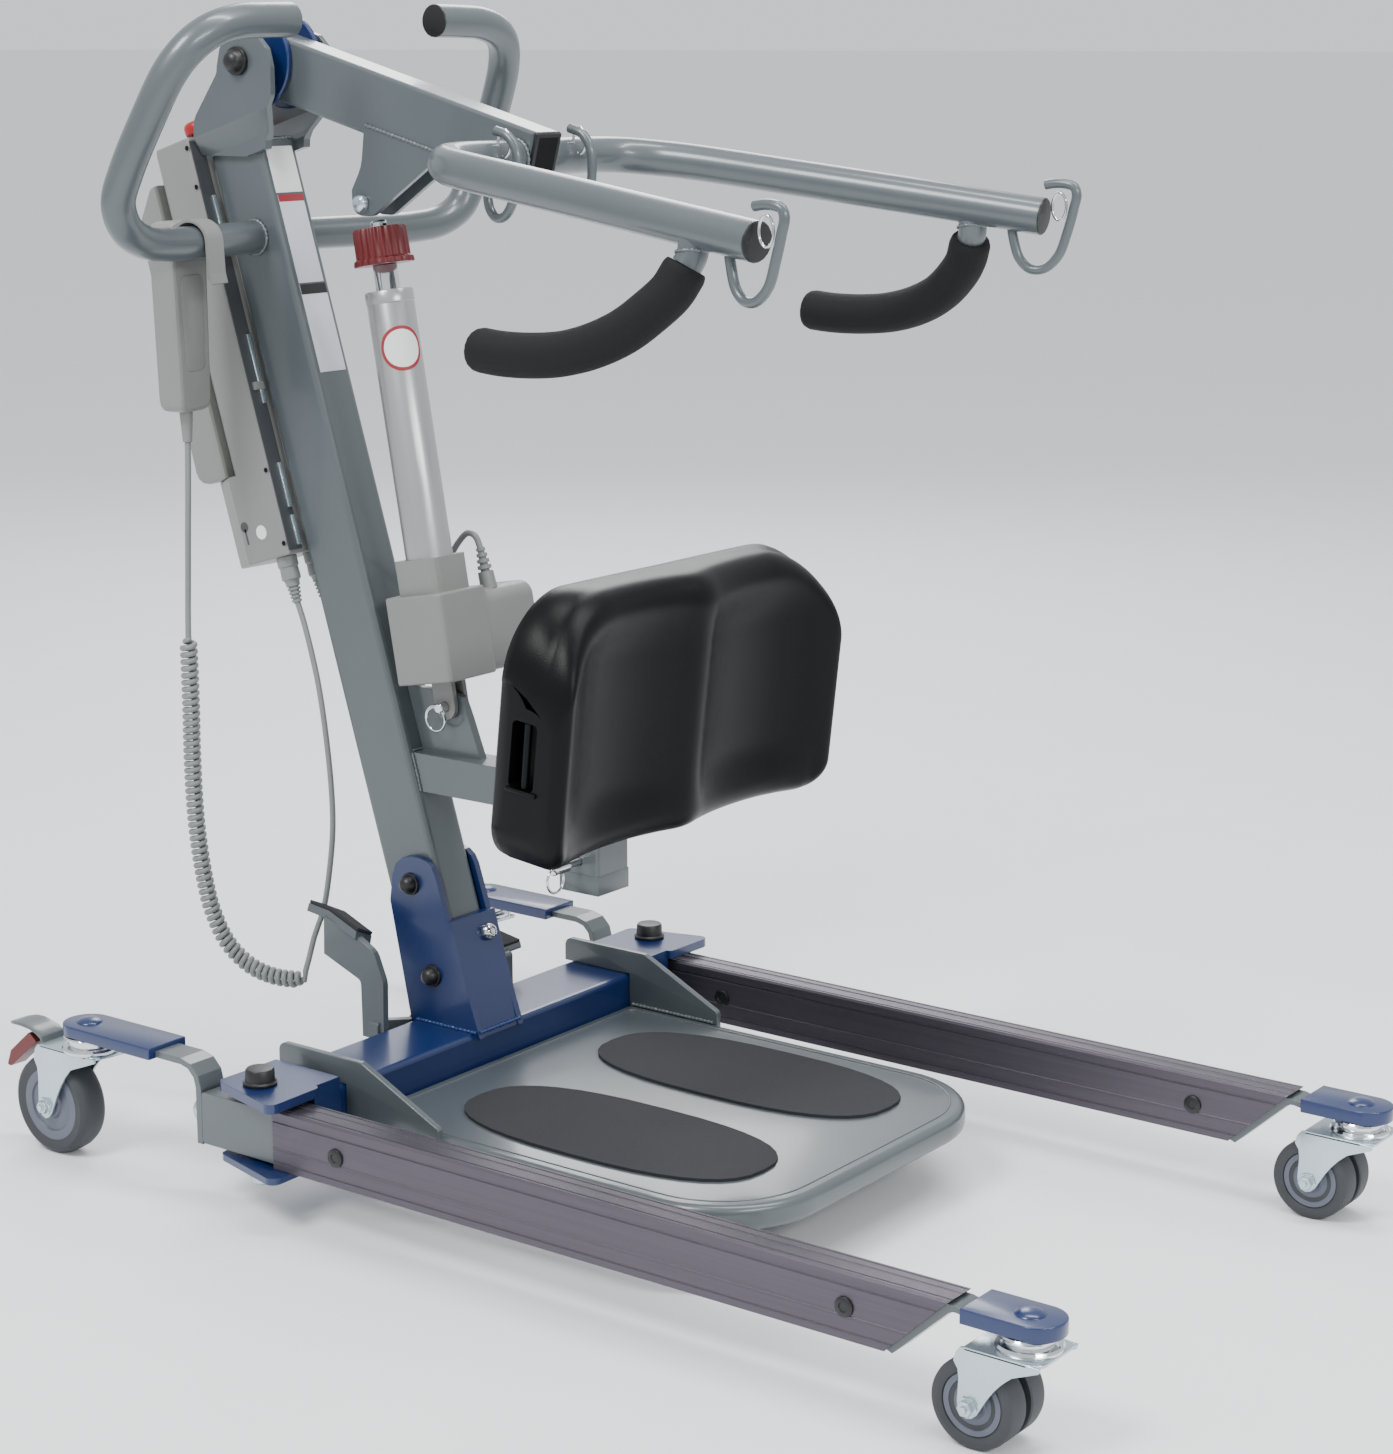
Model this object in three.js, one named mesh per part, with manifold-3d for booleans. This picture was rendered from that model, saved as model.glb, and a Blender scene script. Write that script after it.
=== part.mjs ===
// Sit-to-stand patient lift: a wheeled base with two spreading legs, a leaning mast, a boom raised
// by an electric actuator, sling arms with grips, a knee pad, a battery control box and a handset.
// Millimetres. +Z is up, the legs point to -Y (the patient's side), +X is the operator's left.
// The layout is drawn around the leg pivots (y = 0) and moved back by PIVOT_Y at the end, so that
// the origin is on the floor under the middle of the whole machine.
import * as THREE from 'three';
import { mergeVertices } from 'three/addons/utils/BufferGeometryUtils.js';
import Module from 'manifold-3d';

const wasm = await Module();
wasm.setup();

// ---- driving dimensions ---------------------------------------------------------------------
const PIVOT_Y = 229.9;            // leg pivots, behind the origin
const GAP = 0.3;                // gap between touching pieces

const LEG = { x: 293, halfWidth: 15, bottom: 58.5, top: 108.5, rear: 62, front: -752, rake: 52 };
const COVER = { rear: -31, wall: 2, bottom: 55, top: 112 };
const CASTER = { frontX: 295, frontY: -819, padRear: -770, frontPadTop: 113.5, rearX: 292, rearY: 229, rearPadTop: 140 };
const FRONT_WHEEL = { radius: 37.5, width: 52, trail: 36, cheek: 30 };
const REAR_WHEEL = { radius: 50, width: 32, trail: 46, cheek: 20 };

const BEAM = { halfLength: 246, front: -36, rear: 44, bottom: 60, top: 111, wall: 4 };
const CLEVIS = { top: 125, topUnder: 116, lower: 54.5, lowerUnder: 48 };
const PLATE = { halfWidth: 211.6, front: -494, top: 79, depth: 24, corner: 104 };

const LEAN = Math.atan(0.3045); // the mast leans back from the vertical
const MAST = { width: 50, depth: 70, wall: 3, frontAtFloor: -63.7, bottom: 113.5, topS: 1012 };
const BOOM_PIVOT = { y: 235, z: 1041 };
const BOOM = { width: 35, height: 60, wall: 4, length: 351, slope: THREE.MathUtils.degToRad(15) };
const ROD_PIN = { y: 102, z: 909 };
const FOOT_PIN = { y: 16, z: 428 };
const PIN_DISTANCE = Math.hypot(ROD_PIN.y - FOOT_PIN.y, ROD_PIN.z - FOOT_PIN.z);
const ACTUATOR_LEAN = Math.atan2(ROD_PIN.y - FOOT_PIN.y, ROD_PIN.z - FOOT_PIN.z);

const HUB_SIDES = 24;
const ARM_RADIUS = 17;
const HANDLE_RADIUS = 16;
const GRIP_RADIUS = 19;
const POST = { half: 19, y: -160, bottom: 272, top: 520 };
const PAD = { halfWidth: 215, height: 245, depth: 78, y: -221, z: 474, lean: THREE.MathUtils.degToRad(6.5) };
const CORD = { radius: 3.2, coilRadius: 9.5 };

// ---- colours --------------------------------------------------------------------------------
const GREY = { color: 0x6d777a, roughness: 0.45, metalness: 0.2 };
const BLUE = { color: 0x1f3f78, roughness: 0.4, metalness: 0.2 };
const BLACK = { color: 0x1b1c1e, roughness: 0.6, metalness: 0 };
const RUBBER = { color: 0x26272a, roughness: 0.85, metalness: 0 };
const PLASTIC = { color: 0xa9aba9, roughness: 0.5, metalness: 0 };
const ALUMINIUM = { color: 0x8a8490, roughness: 0.4, metalness: 0.8 };
const SILVER = { color: 0xc4c6c4, roughness: 0.35, metalness: 0.6 };
const ZINC = { color: 0xb4c4c8, roughness: 0.3, metalness: 0.8 };
const CHROME = { color: 0xd0d2d4, roughness: 0.12, metalness: 1 };
const RED = { color: 0xb02a2c, roughness: 0.45, metalness: 0 };
const WHEEL = { color: 0x45484c, roughness: 0.6, metalness: 0 };
const CABLE = { color: 0x8d9292, roughness: 0.55, metalness: 0 };

// ---- solids ---------------------------------------------------------------------------------
// A geometry becomes a solid: shared vertices are merged and its faces are turned outwards.
function solid(geometry) {
  const bare = geometry.index ? geometry.toNonIndexed() : geometry.clone();
  bare.deleteAttribute('normal');
  bare.deleteAttribute('uv');
  const merged = mergeVertices(bare, 1e-3);
  const points = merged.attributes.position;
  const corners = merged.index.array;
  const triangles = [];
  const [a, b, c] = [new THREE.Vector3(), new THREE.Vector3(), new THREE.Vector3()];
  let volume = 0;
  for (let i = 0; i < corners.length; i += 3) {
    const [p, q, r] = [corners[i], corners[i + 1], corners[i + 2]];
    if (p === q || q === r || r === p) continue;
    a.fromBufferAttribute(points, p);
    b.fromBufferAttribute(points, q);
    c.fromBufferAttribute(points, r);
    volume += a.dot(b.cross(c));
    triangles.push(p, q, r);
  }
  if (volume < 0) {
    for (let i = 0; i < triangles.length; i += 3) {
      [triangles[i], triangles[i + 1]] = [triangles[i + 1], triangles[i]];
    }
  }
  const mesh = new wasm.Mesh({
    numProp: 3,
    vertProperties: new Float32Array(points.array),
    triVerts: new Uint32Array(triangles),
  });
  return new wasm.Manifold(mesh);
}

function join(...parts) {
  return parts.reduce((whole, part) => whole.add(part));
}

function cut(body, ...tools) {
  return tools.reduce((rest, tool) => rest.subtract(tool), body);
}

function mirrorX(body) {
  const { vertProperties, triVerts } = body.getMesh();
  const geometry = new THREE.BufferGeometry();
  const flipped = Float32Array.from(vertProperties, (value, i) => (i % 3 === 0 ? -value : value));
  geometry.setAttribute('position', new THREE.BufferAttribute(flipped, 3));
  geometry.setIndex(Array.from(triVerts));
  return solid(geometry);
}

// Closed outline from corner points, each corner rounded by its own radius (third number).
function outline(points, radius = 0) {
  const path = new THREE.Shape();
  const corners = points.map(([x, y, r]) => ({ at: new THREE.Vector2(x, y), r: r ?? radius }));
  corners.forEach((corner, i) => {
    const before = corners[(i + corners.length - 1) % corners.length].at;
    const after = corners[(i + 1) % corners.length].at;
    const toBefore = before.clone().sub(corner.at).normalize();
    const toAfter = after.clone().sub(corner.at).normalize();
    const half = Math.acos(THREE.MathUtils.clamp(toBefore.dot(toAfter), -1, 1)) / 2;
    const reach = corner.r > 0 ? corner.r / Math.tan(half) : 0;
    const start = corner.at.clone().addScaledVector(toBefore, reach);
    const end = corner.at.clone().addScaledVector(toAfter, reach);
    if (i === 0) path.moveTo(start.x, start.y);
    else path.lineTo(start.x, start.y);
    if (reach > 0) {
      const middle = toBefore.clone().add(toAfter).normalize();
      const centre = corner.at.clone().addScaledVector(middle, corner.r / Math.sin(half));
      const sweep = Math.PI - 2 * half;
      const steps = Math.max(2, Math.ceil(sweep / 0.55));
      const turn = toBefore.x * toAfter.y - toBefore.y * toAfter.x > 0 ? -1 : 1;
      for (let k = 1; k <= steps; k += 1) {
        const spoke = start.clone().sub(centre).rotateAround(new THREE.Vector2(), (turn * sweep * k) / steps);
        path.lineTo(centre.x + spoke.x, centre.y + spoke.y);
      }
    }
  });
  path.closePath();
  return path;
}

function rectangle(x0, x1, y0, y1) {
  return [[x0, y0], [x1, y0], [x1, y1], [x0, y1]];
}

// Extrusions of an outline along each axis; the outline's own axes are (y, z), (x, z) and (x, y).
function extrude(shape, depth, bevel, basis, shift) {
  const settings = { depth, bevelEnabled: bevel > 0, curveSegments: 10 };
  if (bevel > 0) {
    settings.depth = depth - 2 * bevel;
    Object.assign(settings, { bevelThickness: bevel, bevelSize: bevel, bevelOffset: -bevel, bevelSegments: 2 });
  }
  const geometry = new THREE.ExtrudeGeometry(shape, settings);
  if (bevel > 0) geometry.translate(0, 0, bevel);
  geometry.applyMatrix4(new THREE.Matrix4().makeBasis(...basis).setPosition(shift));
  return solid(geometry);
}

const [AX, AY, AZ] = [new THREE.Vector3(1, 0, 0), new THREE.Vector3(0, 1, 0), new THREE.Vector3(0, 0, 1)];

function extrudeX(shape, x0, x1, bevel = 0) {
  return extrude(shape, x1 - x0, bevel, [AY, AZ, AX], new THREE.Vector3(x0, 0, 0));
}

function extrudeY(shape, y0, y1, bevel = 0) {
  return extrude(shape, y1 - y0, bevel, [AX, AZ, AY.clone().negate()], new THREE.Vector3(0, y1, 0));
}

function extrudeZ(shape, z0, z1, bevel = 0) {
  return extrude(shape, z1 - z0, bevel, [AX, AY, AZ], new THREE.Vector3(0, 0, z0));
}

function box(x0, x1, y0, y1, z0, z1) {
  const geometry = new THREE.BoxGeometry(x1 - x0, y1 - y0, z1 - z0);
  geometry.translate((x0 + x1) / 2, (y0 + y1) / 2, (z0 + z1) / 2);
  return solid(geometry);
}

// A turned piece: profile points are (radius, distance along the axis from the centre).
function turned(profile, axis, centre, sides = 16) {
  const geometry = new THREE.LatheGeometry(profile.map(([r, h]) => new THREE.Vector2(r, h)), sides);
  const towards = { x: AX, y: AY, z: AZ }[axis];
  geometry.applyQuaternion(new THREE.Quaternion().setFromUnitVectors(AY, towards));
  geometry.translate(...centre);
  return solid(geometry);
}

function rod(axis, centre, radius, from, to, sides = 12) {
  return turned([[0, from], [radius, from], [radius, to], [0, to]], axis, centre, sides);
}

function torus(axis, centre, radius, wire, sides = 16) {
  const profile = [];
  for (let i = 0; i <= 5; i += 1) {
    const angle = (i * Math.PI) / 2.5;
    profile.push([radius + wire * Math.cos(angle), wire * Math.sin(angle)]);
  }
  return turned(profile, axis, centre, sides);
}

// A round bar along a smooth curve through hand-chosen points.
function bar(points, radius, steps, sides = 14) {
  const curve = new THREE.CatmullRomCurve3(points.map((p) => new THREE.Vector3(...p)), false, 'centripetal');
  const section = new THREE.Shape();
  for (let i = 0; i < sides; i += 1) {
    const angle = (2 * Math.PI * i) / sides;
    const [x, y] = [radius * Math.cos(angle), radius * Math.sin(angle)];
    if (i === 0) section.moveTo(x, y);
    else section.lineTo(x, y);
  }
  section.closePath();
  return solid(new THREE.ExtrudeGeometry(section, { steps, extrudePath: curve, bevelEnabled: false }));
}

function onSide(points, side) {
  return points.map(([x, y, z]) => [side * x, y, z]);
}

// ---- the scene graph ------------------------------------------------------------------------
const lift = new THREE.Group();
lift.name = 'sit_to_stand_lift';
lift.position.y = PIVOT_Y;

function addPart(name, body, finish, parent = lift) {
  const { vertProperties, triVerts } = body.getMesh();
  const geometry = new THREE.BufferGeometry();
  geometry.setAttribute('position', new THREE.BufferAttribute(new Float32Array(vertProperties), 3));
  geometry.setIndex(Array.from(triVerts));
  geometry.computeVertexNormals();
  const mesh = new THREE.Mesh(geometry, new THREE.MeshStandardMaterial(finish));
  mesh.name = name;
  parent.add(mesh);
}

const SIDES = [['right', -1], ['left', 1]];

// ---- base: crossbeam, leg clevises and mast socket ---------------------------------------------
function mastFront(z) {
  return Math.tan(LEAN) * z + MAST.frontAtFloor;
}

function makeBaseFrame() {
  const { halfLength, front, rear, bottom, top, wall } = BEAM;
  const outside = extrudeX(outline(rectangle(front, rear, bottom, top), 5), -halfLength, halfLength);
  const inside = box(-halfLength + wall, halfLength - wall, front + wall, rear - wall, bottom + wall, top - wall);
  const drain = rod('z', [0, 4, 0], 6, bottom - 2, bottom + wall + 2);
  const beam = cut(outside, inside, drain);

  const ear = [[-243, 37, 6], [-309, 39, 8], [-333, -51, 8], [-267, -50, 6]];
  const knuckle = box(-268, -halfLength + 12, -44, 38, CLEVIS.lowerUnder, CLEVIS.top);
  const upper = extrudeZ(outline(ear), CLEVIS.topUnder, CLEVIS.top);
  const lower = extrudeZ(outline(ear), CLEVIS.lowerUnder, CLEVIS.lower);
  const bolt = rod('z', [-LEG.x, 0, 0], 8.4, 40, 130);
  const rightClevis = cut(join(knuckle, upper, lower), bolt);

  const cheek = [[-42, 106], [47, 106], [73, 229, 12], [66, 278, 26], [18, 278, 22], [-1.5, 219]];
  const cheeks = join(
    extrudeX(outline(cheek), 26, 33),
    extrudeX(outline(cheek), -33, -26),
  );
  const webFoot = mastFront(106) - 9;
  const webHead = mastFront(219) - 9;
  const web = extrudeX(outline([[webFoot, 106], [webFoot + 7, 106], [webHead + 7, 219], [webHead, 219]]), -33, 33);
  return join(beam, rightClevis, mirrorX(rightClevis), cheeks, web);
}

// ---- footplate with its two welded side brackets ----------------------------------------------
function makeFootplate() {
  const { halfWidth, front, top, depth, corner } = PLATE;
  const rear = BEAM.front - 0.4;
  const plan = [[-halfWidth, rear, 9], [-halfWidth, front, corner], [halfWidth, front, corner], [halfWidth, rear, 9]];
  const tray = extrudeZ(outline(plan), top - depth, top, 7);
  const inset = 9;
  const hollow = [
    [-halfWidth + inset, rear - inset, 2],
    [-halfWidth + inset, front + inset, corner - inset],
    [halfWidth - inset, front + inset, corner - inset],
    [halfWidth - inset, rear - inset, 2],
  ];
  const tray2 = cut(tray, extrudeZ(outline(hollow), top - depth - 1, top - 5));
  const side = [
    [49.5, 111.4], [49.5, 136, 8], [-56, 136, 10], [-150, 91, 5],
    [-150, 64], [BEAM.front - 0.4, 64], [BEAM.front - 0.4, 111.4],
  ];
  const bracket = extrudeX(outline(side), 211, 218);
  return join(tray2, bracket, mirrorX(bracket));
}

function makeFootPad(side) {
  const points = [];
  const [halfWidth, halfLength, roundness] = [73, 166, 2.6];
  for (let i = 0; i < 36; i += 1) {
    const angle = (2 * Math.PI * i) / 36;
    const [c, s] = [Math.cos(angle), Math.sin(angle)];
    const x = halfWidth * Math.sign(c) * Math.abs(c) ** (2 / roundness);
    const y = halfLength * Math.sign(s) * Math.abs(s) ** (2 / roundness);
    points.push([side * 101 + x, -266 + y]);
  }
  return extrudeZ(outline(points), PLATE.top + GAP, PLATE.top + 3);
}

function makeLegBolt(side) {
  const profile = [
    [0, 36], [11, 38], [11, 47.6], [8, 47.6], [8, 125.4], [14.5, 125.4], [14.5, 138], [12, 141], [0, 141],
  ];
  return turned(profile, 'z', [side * LEG.x, 0, 0], 16);
}

// ---- mast with its clevis head -----------------------------------------------------------------
// Mast coordinates: x across, v behind the mast's front face, s along the mast from the floor line.
function onMast(body) {
  const mesh = new THREE.Matrix4().makeRotationX(-LEAN).setPosition(0, MAST.frontAtFloor, 0);
  return body.transform(mesh.elements);
}

function makeMast() {
  const { width, depth, wall, bottom, topS } = MAST;
  const [halfWidth, lowest] = [width / 2, 60];
  const outside = extrudeZ(outline(rectangle(-halfWidth, halfWidth, 0, depth), 6), lowest, topS);
  const inside = extrudeZ(
    outline(rectangle(-halfWidth + wall, halfWidth - wall, wall, depth - wall), 3),
    lowest - 5,
    topS - 5,
  );
  const tube = cut(onMast(cut(outside, inside)), box(-60, 60, -200, 200, -10, bottom));
  const strip = [[22, -4], [25, 2], [39.2, 21], [39.2, 120], [45.2, 120], [45.2, 19], [31, 0], [31, -14], [22, -14]];
  const placed = onMast(extrudeY(outline(strip), -80, depth + 40).translate(0, 0, topS));
  const head = [
    [216, 950], [300, 950], [298, 985, 20], [264, 1030, 12], [264, 1070, 34.5], [192, 1070, 34.5], [192, 1010, 12],
    [215, 966],
  ];
  const silhouette = extrudeX(outline(head), -60, 60);
  const earLeft = placed.intersect(silhouette);
  const hole = rod('x', [0, BOOM_PIVOT.y, BOOM_PIVOT.z], 8.3, -60, 60);
  return cut(join(tube, earLeft, mirrorX(earLeft)), hole);
}

function makePushHandle(side) {
  const route = [
    [18, 241, 872.5], [70, 229, 872.8], [120, 217, 873.2], [172, 209, 874], [208, 203, 879], [233, 198, 893],
    [245, 193, 916], [246, 180, 944], [240, 156, 991], [230, 134, 1034], [215, 121, 1057], [195, 114, 1070],
    [166, 111, 1077], [135, 110.5, 1078.5], [100, 111, 1079],
  ];
  const mastSide = MAST.width / 2 + GAP;
  return cut(bar(onSide(route, side), HANDLE_RADIUS, 22, 12), box(-mastSide, mastSide, 150, 300, 850, 900));
}

function makeBoomPivotBolt() {
  const profile = [
    [0, -60], [9, -58], [13, -50], [13, -45.6], [8, -45.6], [8, 45.6], [13, 45.6], [13, 50], [9, 58], [0, 60],
  ];
  return turned(profile, 'x', [0, BOOM_PIVOT.y, BOOM_PIVOT.z], 14);
}

// ---- knee bar: square tube, actuator lug and the sleeve that holds the knee post -------------------
function makeKneeBar() {
  const [low, high] = [341.5, 379.5];
  const clear = 0.6;
  const barSide = [
    [POST.y + 20, low], [mastFront(low) - clear, low], [mastFront(high) - clear, high], [POST.y + 20, high],
  ];
  const tube = extrudeX(outline(barSide), -19, 19);
  const lug = [
    [mastFront(high - 3) - clear, high - 3], [mastFront(442) - clear, 442], [2, 442, 14], [-8, 420, 6],
    [-25, high - 3],
  ];
  const lugPlate = extrudeX(outline(lug), -4.5, 4.5);
  const sleeve = extrudeZ(outline(rectangle(-23.5, 23.5, POST.y - 23.5, POST.y + 23.5), 3), 292, 384);
  const pinHole = rod('x', [0, FOOT_PIN.y, FOOT_PIN.z], 5.3, -20, 20);
  const catchHole = rod('x', [0, POST.y, 304], 4.3, -30, -15);
  const post = box(-19.6, 19.6, POST.y - 19.6, POST.y + 19.6, 280, 400);
  return cut(join(tube, lugPlate, sleeve), post, pinHole, catchHole);
}

function makeKneePost() {
  const { half, y, bottom, top } = POST;
  const wall = 3;
  const outside = extrudeZ(outline(rectangle(-half, half, y - half, y + half), 4), bottom, top);
  const inside = box(-half + wall, half - wall, y - half + wall, y + half - wall, bottom - 1, top + 1);
  const tube = cut(outside, inside);
  const arm = box(-22, 22, PAD.y - 10, y - half + 1, 446, 496);
  const tilt = new THREE.Matrix4().makeRotationX(PAD.lean).setPosition(0, PAD.y, PAD.z);
  const backPlate = box(-130, 130, 0.4, 5.4, -72, 72).transform(tilt.elements);
  const padSpace = box(-300, 300, -80, 0.4, -200, 200).transform(tilt.elements);
  return join(tube, cut(arm, padSpace), backPlate);
}

function makeKneePad() {
  const { halfWidth, height, depth } = PAD;
  const half = height / 2;
  const face = [[-halfWidth, -half, 34], [halfWidth, -half, 34], [halfWidth, half, 90], [-halfWidth, half, 90]];
  const cushion = extrudeY(outline(face), -depth, 0, 22);
  const crest = [
    [-230, 1], [-230, -62], [-200, -depth], [-168, -70], [-128, -52], [-90, -46], [-52, -51], [-18, -63], [18, -63],
    [52, -51], [90, -46], [128, -52], [168, -70], [200, -depth], [230, -62], [230, 1],
  ];
  const contour = extrudeZ(outline(crest), -200, 200);
  const tilt = new THREE.Matrix4().makeRotationX(PAD.lean).setPosition(0, PAD.y, PAD.z);
  return cushion.intersect(contour).transform(tilt.elements);
}

function makeKneePin() {
  const shank = turned([[0, -62], [6, -61], [6, -40], [4, -40], [4, -20.4], [0, -20.4]], 'x', [0, POST.y, 304]);
  return join(shank, torus('y', [-58, POST.y, 293], 12, 1.3));
}

// ---- boom ----------------------------------------------------------------------------------------
// Boom coordinates: t from the pivot towards the front end, n above the boom's axis.
function boomPoint(t, n) {
  const { slope } = BOOM;
  return [
    BOOM_PIVOT.y - t * Math.cos(slope) - n * Math.sin(slope),
    BOOM_PIVOT.z - t * Math.sin(slope) + n * Math.cos(slope),
  ];
}

function makeBoom() {
  const { width, height, wall, length } = BOOM;
  const [hw, hh] = [width / 2, height / 2];
  const profile = [
    [...boomPoint(-30, -hh), 29.5], [...boomPoint(-30, hh), 29.5], [...boomPoint(length, hh)],
    [...boomPoint(length, -hh)],
  ];
  const outside = extrudeX(outline(profile), -hw, hw, 3);
  const hollow = [
    boomPoint(34, -hh + wall), boomPoint(34, hh - wall), boomPoint(length + 5, hh - wall),
    boomPoint(length + 5, -hh + wall),
  ];
  const inside = extrudeX(outline(hollow), -hw + wall, hw - wall);
  const gusset = [[98, 982], [103, 943, 40], [116, 921, 5], [115, 897, 12], [90, 897, 10], [9, 951], [9, 962]];
  const gussets = join(extrudeX(outline(gusset), 12, hw), extrudeX(outline(gusset), -hw, -12));
  const web = extrudeX(outline([[62, 935], [44, 946], [44, 965], [62, 968]]), -14, 14);
  const hubHole = rod('x', [0, BOOM_PIVOT.y, BOOM_PIVOT.z], 12.5, -30, 30, HUB_SIDES);
  const pinHole = rod('x', [0, ROD_PIN.y, ROD_PIN.z], 4.4, -30, 30);
  return cut(join(cut(outside, inside), gussets, web), hubHole, pinHole);
}

function makeBoomEndCap() {
  const { width, height, wall, length } = BOOM;
  const rectangleOnBoom = (t0, t1, half) => [
    boomPoint(t0, -half), boomPoint(t1, -half), boomPoint(t1, half), boomPoint(t0, half),
  ];
  const plugHalf = height / 2 - wall - GAP;
  const plug = extrudeX(
    outline(rectangleOnBoom(length - 15, length + 2, plugHalf)),
    -width / 2 + wall + GAP,
    width / 2 - wall - GAP,
  );
  const face = extrudeX(outline(rectangleOnBoom(length + GAP, length + 4, height / 2)), -width / 2, width / 2, 1);
  return join(plug, face);
}

function makePivotHub() {
  const [edge, face, boss, inner] = [38.6, BOOM.width / 2 + 6, 18, BOOM.width / 2 + GAP];
  const profile = [
    [8.4, -edge], [boss, -edge], [boss, -face], [46, -face], [46, -inner], [12, -inner],
    [12, inner], [46, inner], [46, face], [boss, face], [boss, edge], [8.4, edge], [8.4, -edge],
  ];
  return turned(profile, 'x', [0, BOOM_PIVOT.y, BOOM_PIVOT.z], HUB_SIDES);
}

const ARM_ROUTE = [
  [14, -88, 955.5], [60, -88, 955.5], [95, -90, 955.5], [124, -99, 954.5], [144, -121, 952],
  [157, -157, 948.5], [178, -270, 935], [200, -388, 920.5], [221, -505, 906],
];
const FRONT_HOOK = [
  [216, -474, 904], [217, -478, 884], [219, -485, 866], [221, -499, 857.5], [224, -516, 862],
  [226, -529, 882], [227, -536, 908], [227, -533, 926], [226, -521, 934], [224, -507, 934.5],
];
const REAR_HOOK = [
  [50, -84, 943], [51, -83, 925], [52, -87, 910], [53, -96, 903], [54, -107, 906], [54, -117, 922], [53.5, -121, 944],
  [53, -119, 964], [53, -110, 976], [53, -95, 981],
];

function makeArm(side) {
  const boomSide = BOOM.width / 2 + GAP;
  const tube = cut(bar(onSide(ARM_ROUTE, side), ARM_RADIUS, 20, 12), box(-boomSide, boomSide, -120, -50, 930, 980));
  const hookWire = 4.5;
  const frontHook = bar(onSide(FRONT_HOOK, side), hookWire, 12, 6);
  const rearHook = bar(onSide(REAR_HOOK, side), hookWire, 12, 6);
  const stub = bar(onSide([[210, -437, 910], [213.3, -435.7, 891.4], [215.8, -432.6, 884]], side), 13, 2, 12);
  return join(tube, frontHook, rearHook, stub);
}

function makeGrip(side) {
  const route = [
    [216, -432.4, 883.5], [219, -428.7, 874.7], [223.5, -422.5, 863], [231, -408, 848], [238, -386, 831], [243, -358, 818],
    [245, -328, 810], [245.5, -296, 806.5], [245, -262, 806], [244, -234, 808],
  ];
  return bar(onSide(route, side), GRIP_RADIUS, 16, 12);
}

function makeRodPin() {
  const profile = [[0, -26], [6, -25], [8, -23], [8, -17.8], [4, -17.8], [4, 17.8], [8, 17.8], [8, 23], [0, 23]];
  return turned(profile, 'x', [0, ROD_PIN.y, ROD_PIN.z], 16);
}

// ---- actuator: drawn upright from its lower pin, then leaned back --------------------------------------
function onActuator(body) {
  const place = new THREE.Matrix4().makeRotationX(-ACTUATOR_LEAN).setPosition(0, FOOT_PIN.y, FOOT_PIN.z);
  return body.transform(place.elements);
}

const ACTUATOR = { bodyBottom: 26, bodyTop: 112, collarTop: 146, tubeTop: 404, tubeRadius: 23, rodRadius: 12 };

function makeActuatorHousing() {
  const { bodyBottom, bodyTop, collarTop, tubeRadius } = ACTUATOR;
  const gearCase = extrudeZ(outline([[-36, -37, 6], [34, -37, 6], [34, 37, 8], [-36, 37, 8]]), bodyBottom, bodyTop, 2);
  const motorFace = [[-34, 34, 6], [-34, 100, 14], [30, 100, 14], [30, 34, 6]];
  const motorCase = extrudeX(outline(motorFace.map(([y, z, r]) => [y, z, r])), 20, 104, 3);
  const collar = extrudeZ(outline(rectangle(-27, 27, -27, 27), 10), bodyTop - 4, collarTop);
  const bore = rod('z', [0, 0, 0], tubeRadius + 0.5, bodyTop + 2, collarTop + 4, 24);
  const lug = [[-13, bodyBottom + 4], [-13, -13, 12.5], [13, -13, 12.5], [13, bodyBottom + 4]];
  const lugs = join(extrudeX(outline(lug), 5.2, 10.5), extrudeX(outline(lug), -10.5, -5.2));
  const pinHole = rod('x', [0, 0, 0], 5.3, -20, 20);
  return onActuator(cut(join(gearCase, motorCase, collar, lugs), bore, pinHole));
}

function makeActuatorTube() {
  const { bodyTop, tubeTop, tubeRadius, rodRadius } = ACTUATOR;
  const inner = rodRadius + 0.5;
  const foot = bodyTop + 2 + GAP;
  const profile = [
    [0, foot], [tubeRadius, foot], [tubeRadius, tubeTop], [inner, tubeTop], [inner, foot + 8], [0, foot + 8],
  ];
  return onActuator(turned(profile, 'z', [0, 0, 0], 24));
}

function makeActuatorRod() {
  const { rodRadius } = ACTUATOR;
  const tip = PIN_DISTANCE - 17;
  const shaft = turned(
    [[0, 200], [rodRadius, 200], [rodRadius, 428], [8, 436], [8, tip - 2], [6, tip], [0, tip]],
    'z',
    [0, 0, 0],
    16,
  );
  return onActuator(shaft);
}

function makeReleaseKnob() {
  const [bottom, top] = [429, 465];
  const flutes = 12;
  const points = [];
  for (let i = 0; i < flutes * 4; i += 1) {
    const angle = (2 * Math.PI * i) / (flutes * 4);
    const radius = 25.2 + (i % 4 < 2 ? 0.9 : -0.6);
    points.push([radius * Math.cos(angle), radius * Math.sin(angle)]);
  }
  const drum = extrudeZ(outline(points), bottom + 5, top);
  const skirt = rod('z', [0, 0, 0], 28.5, bottom, bottom + 6, 20);
  const boreSteps = [[0, bottom - 1], [12.6, bottom - 1], [12.6, 429], [8.6, 437], [8.6, top + 1], [0, top + 1]];
  const bore = turned(boreSteps, 'z', [0, 0, 0], 14);
  return onActuator(cut(join(drum, skirt), bore));
}

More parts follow.
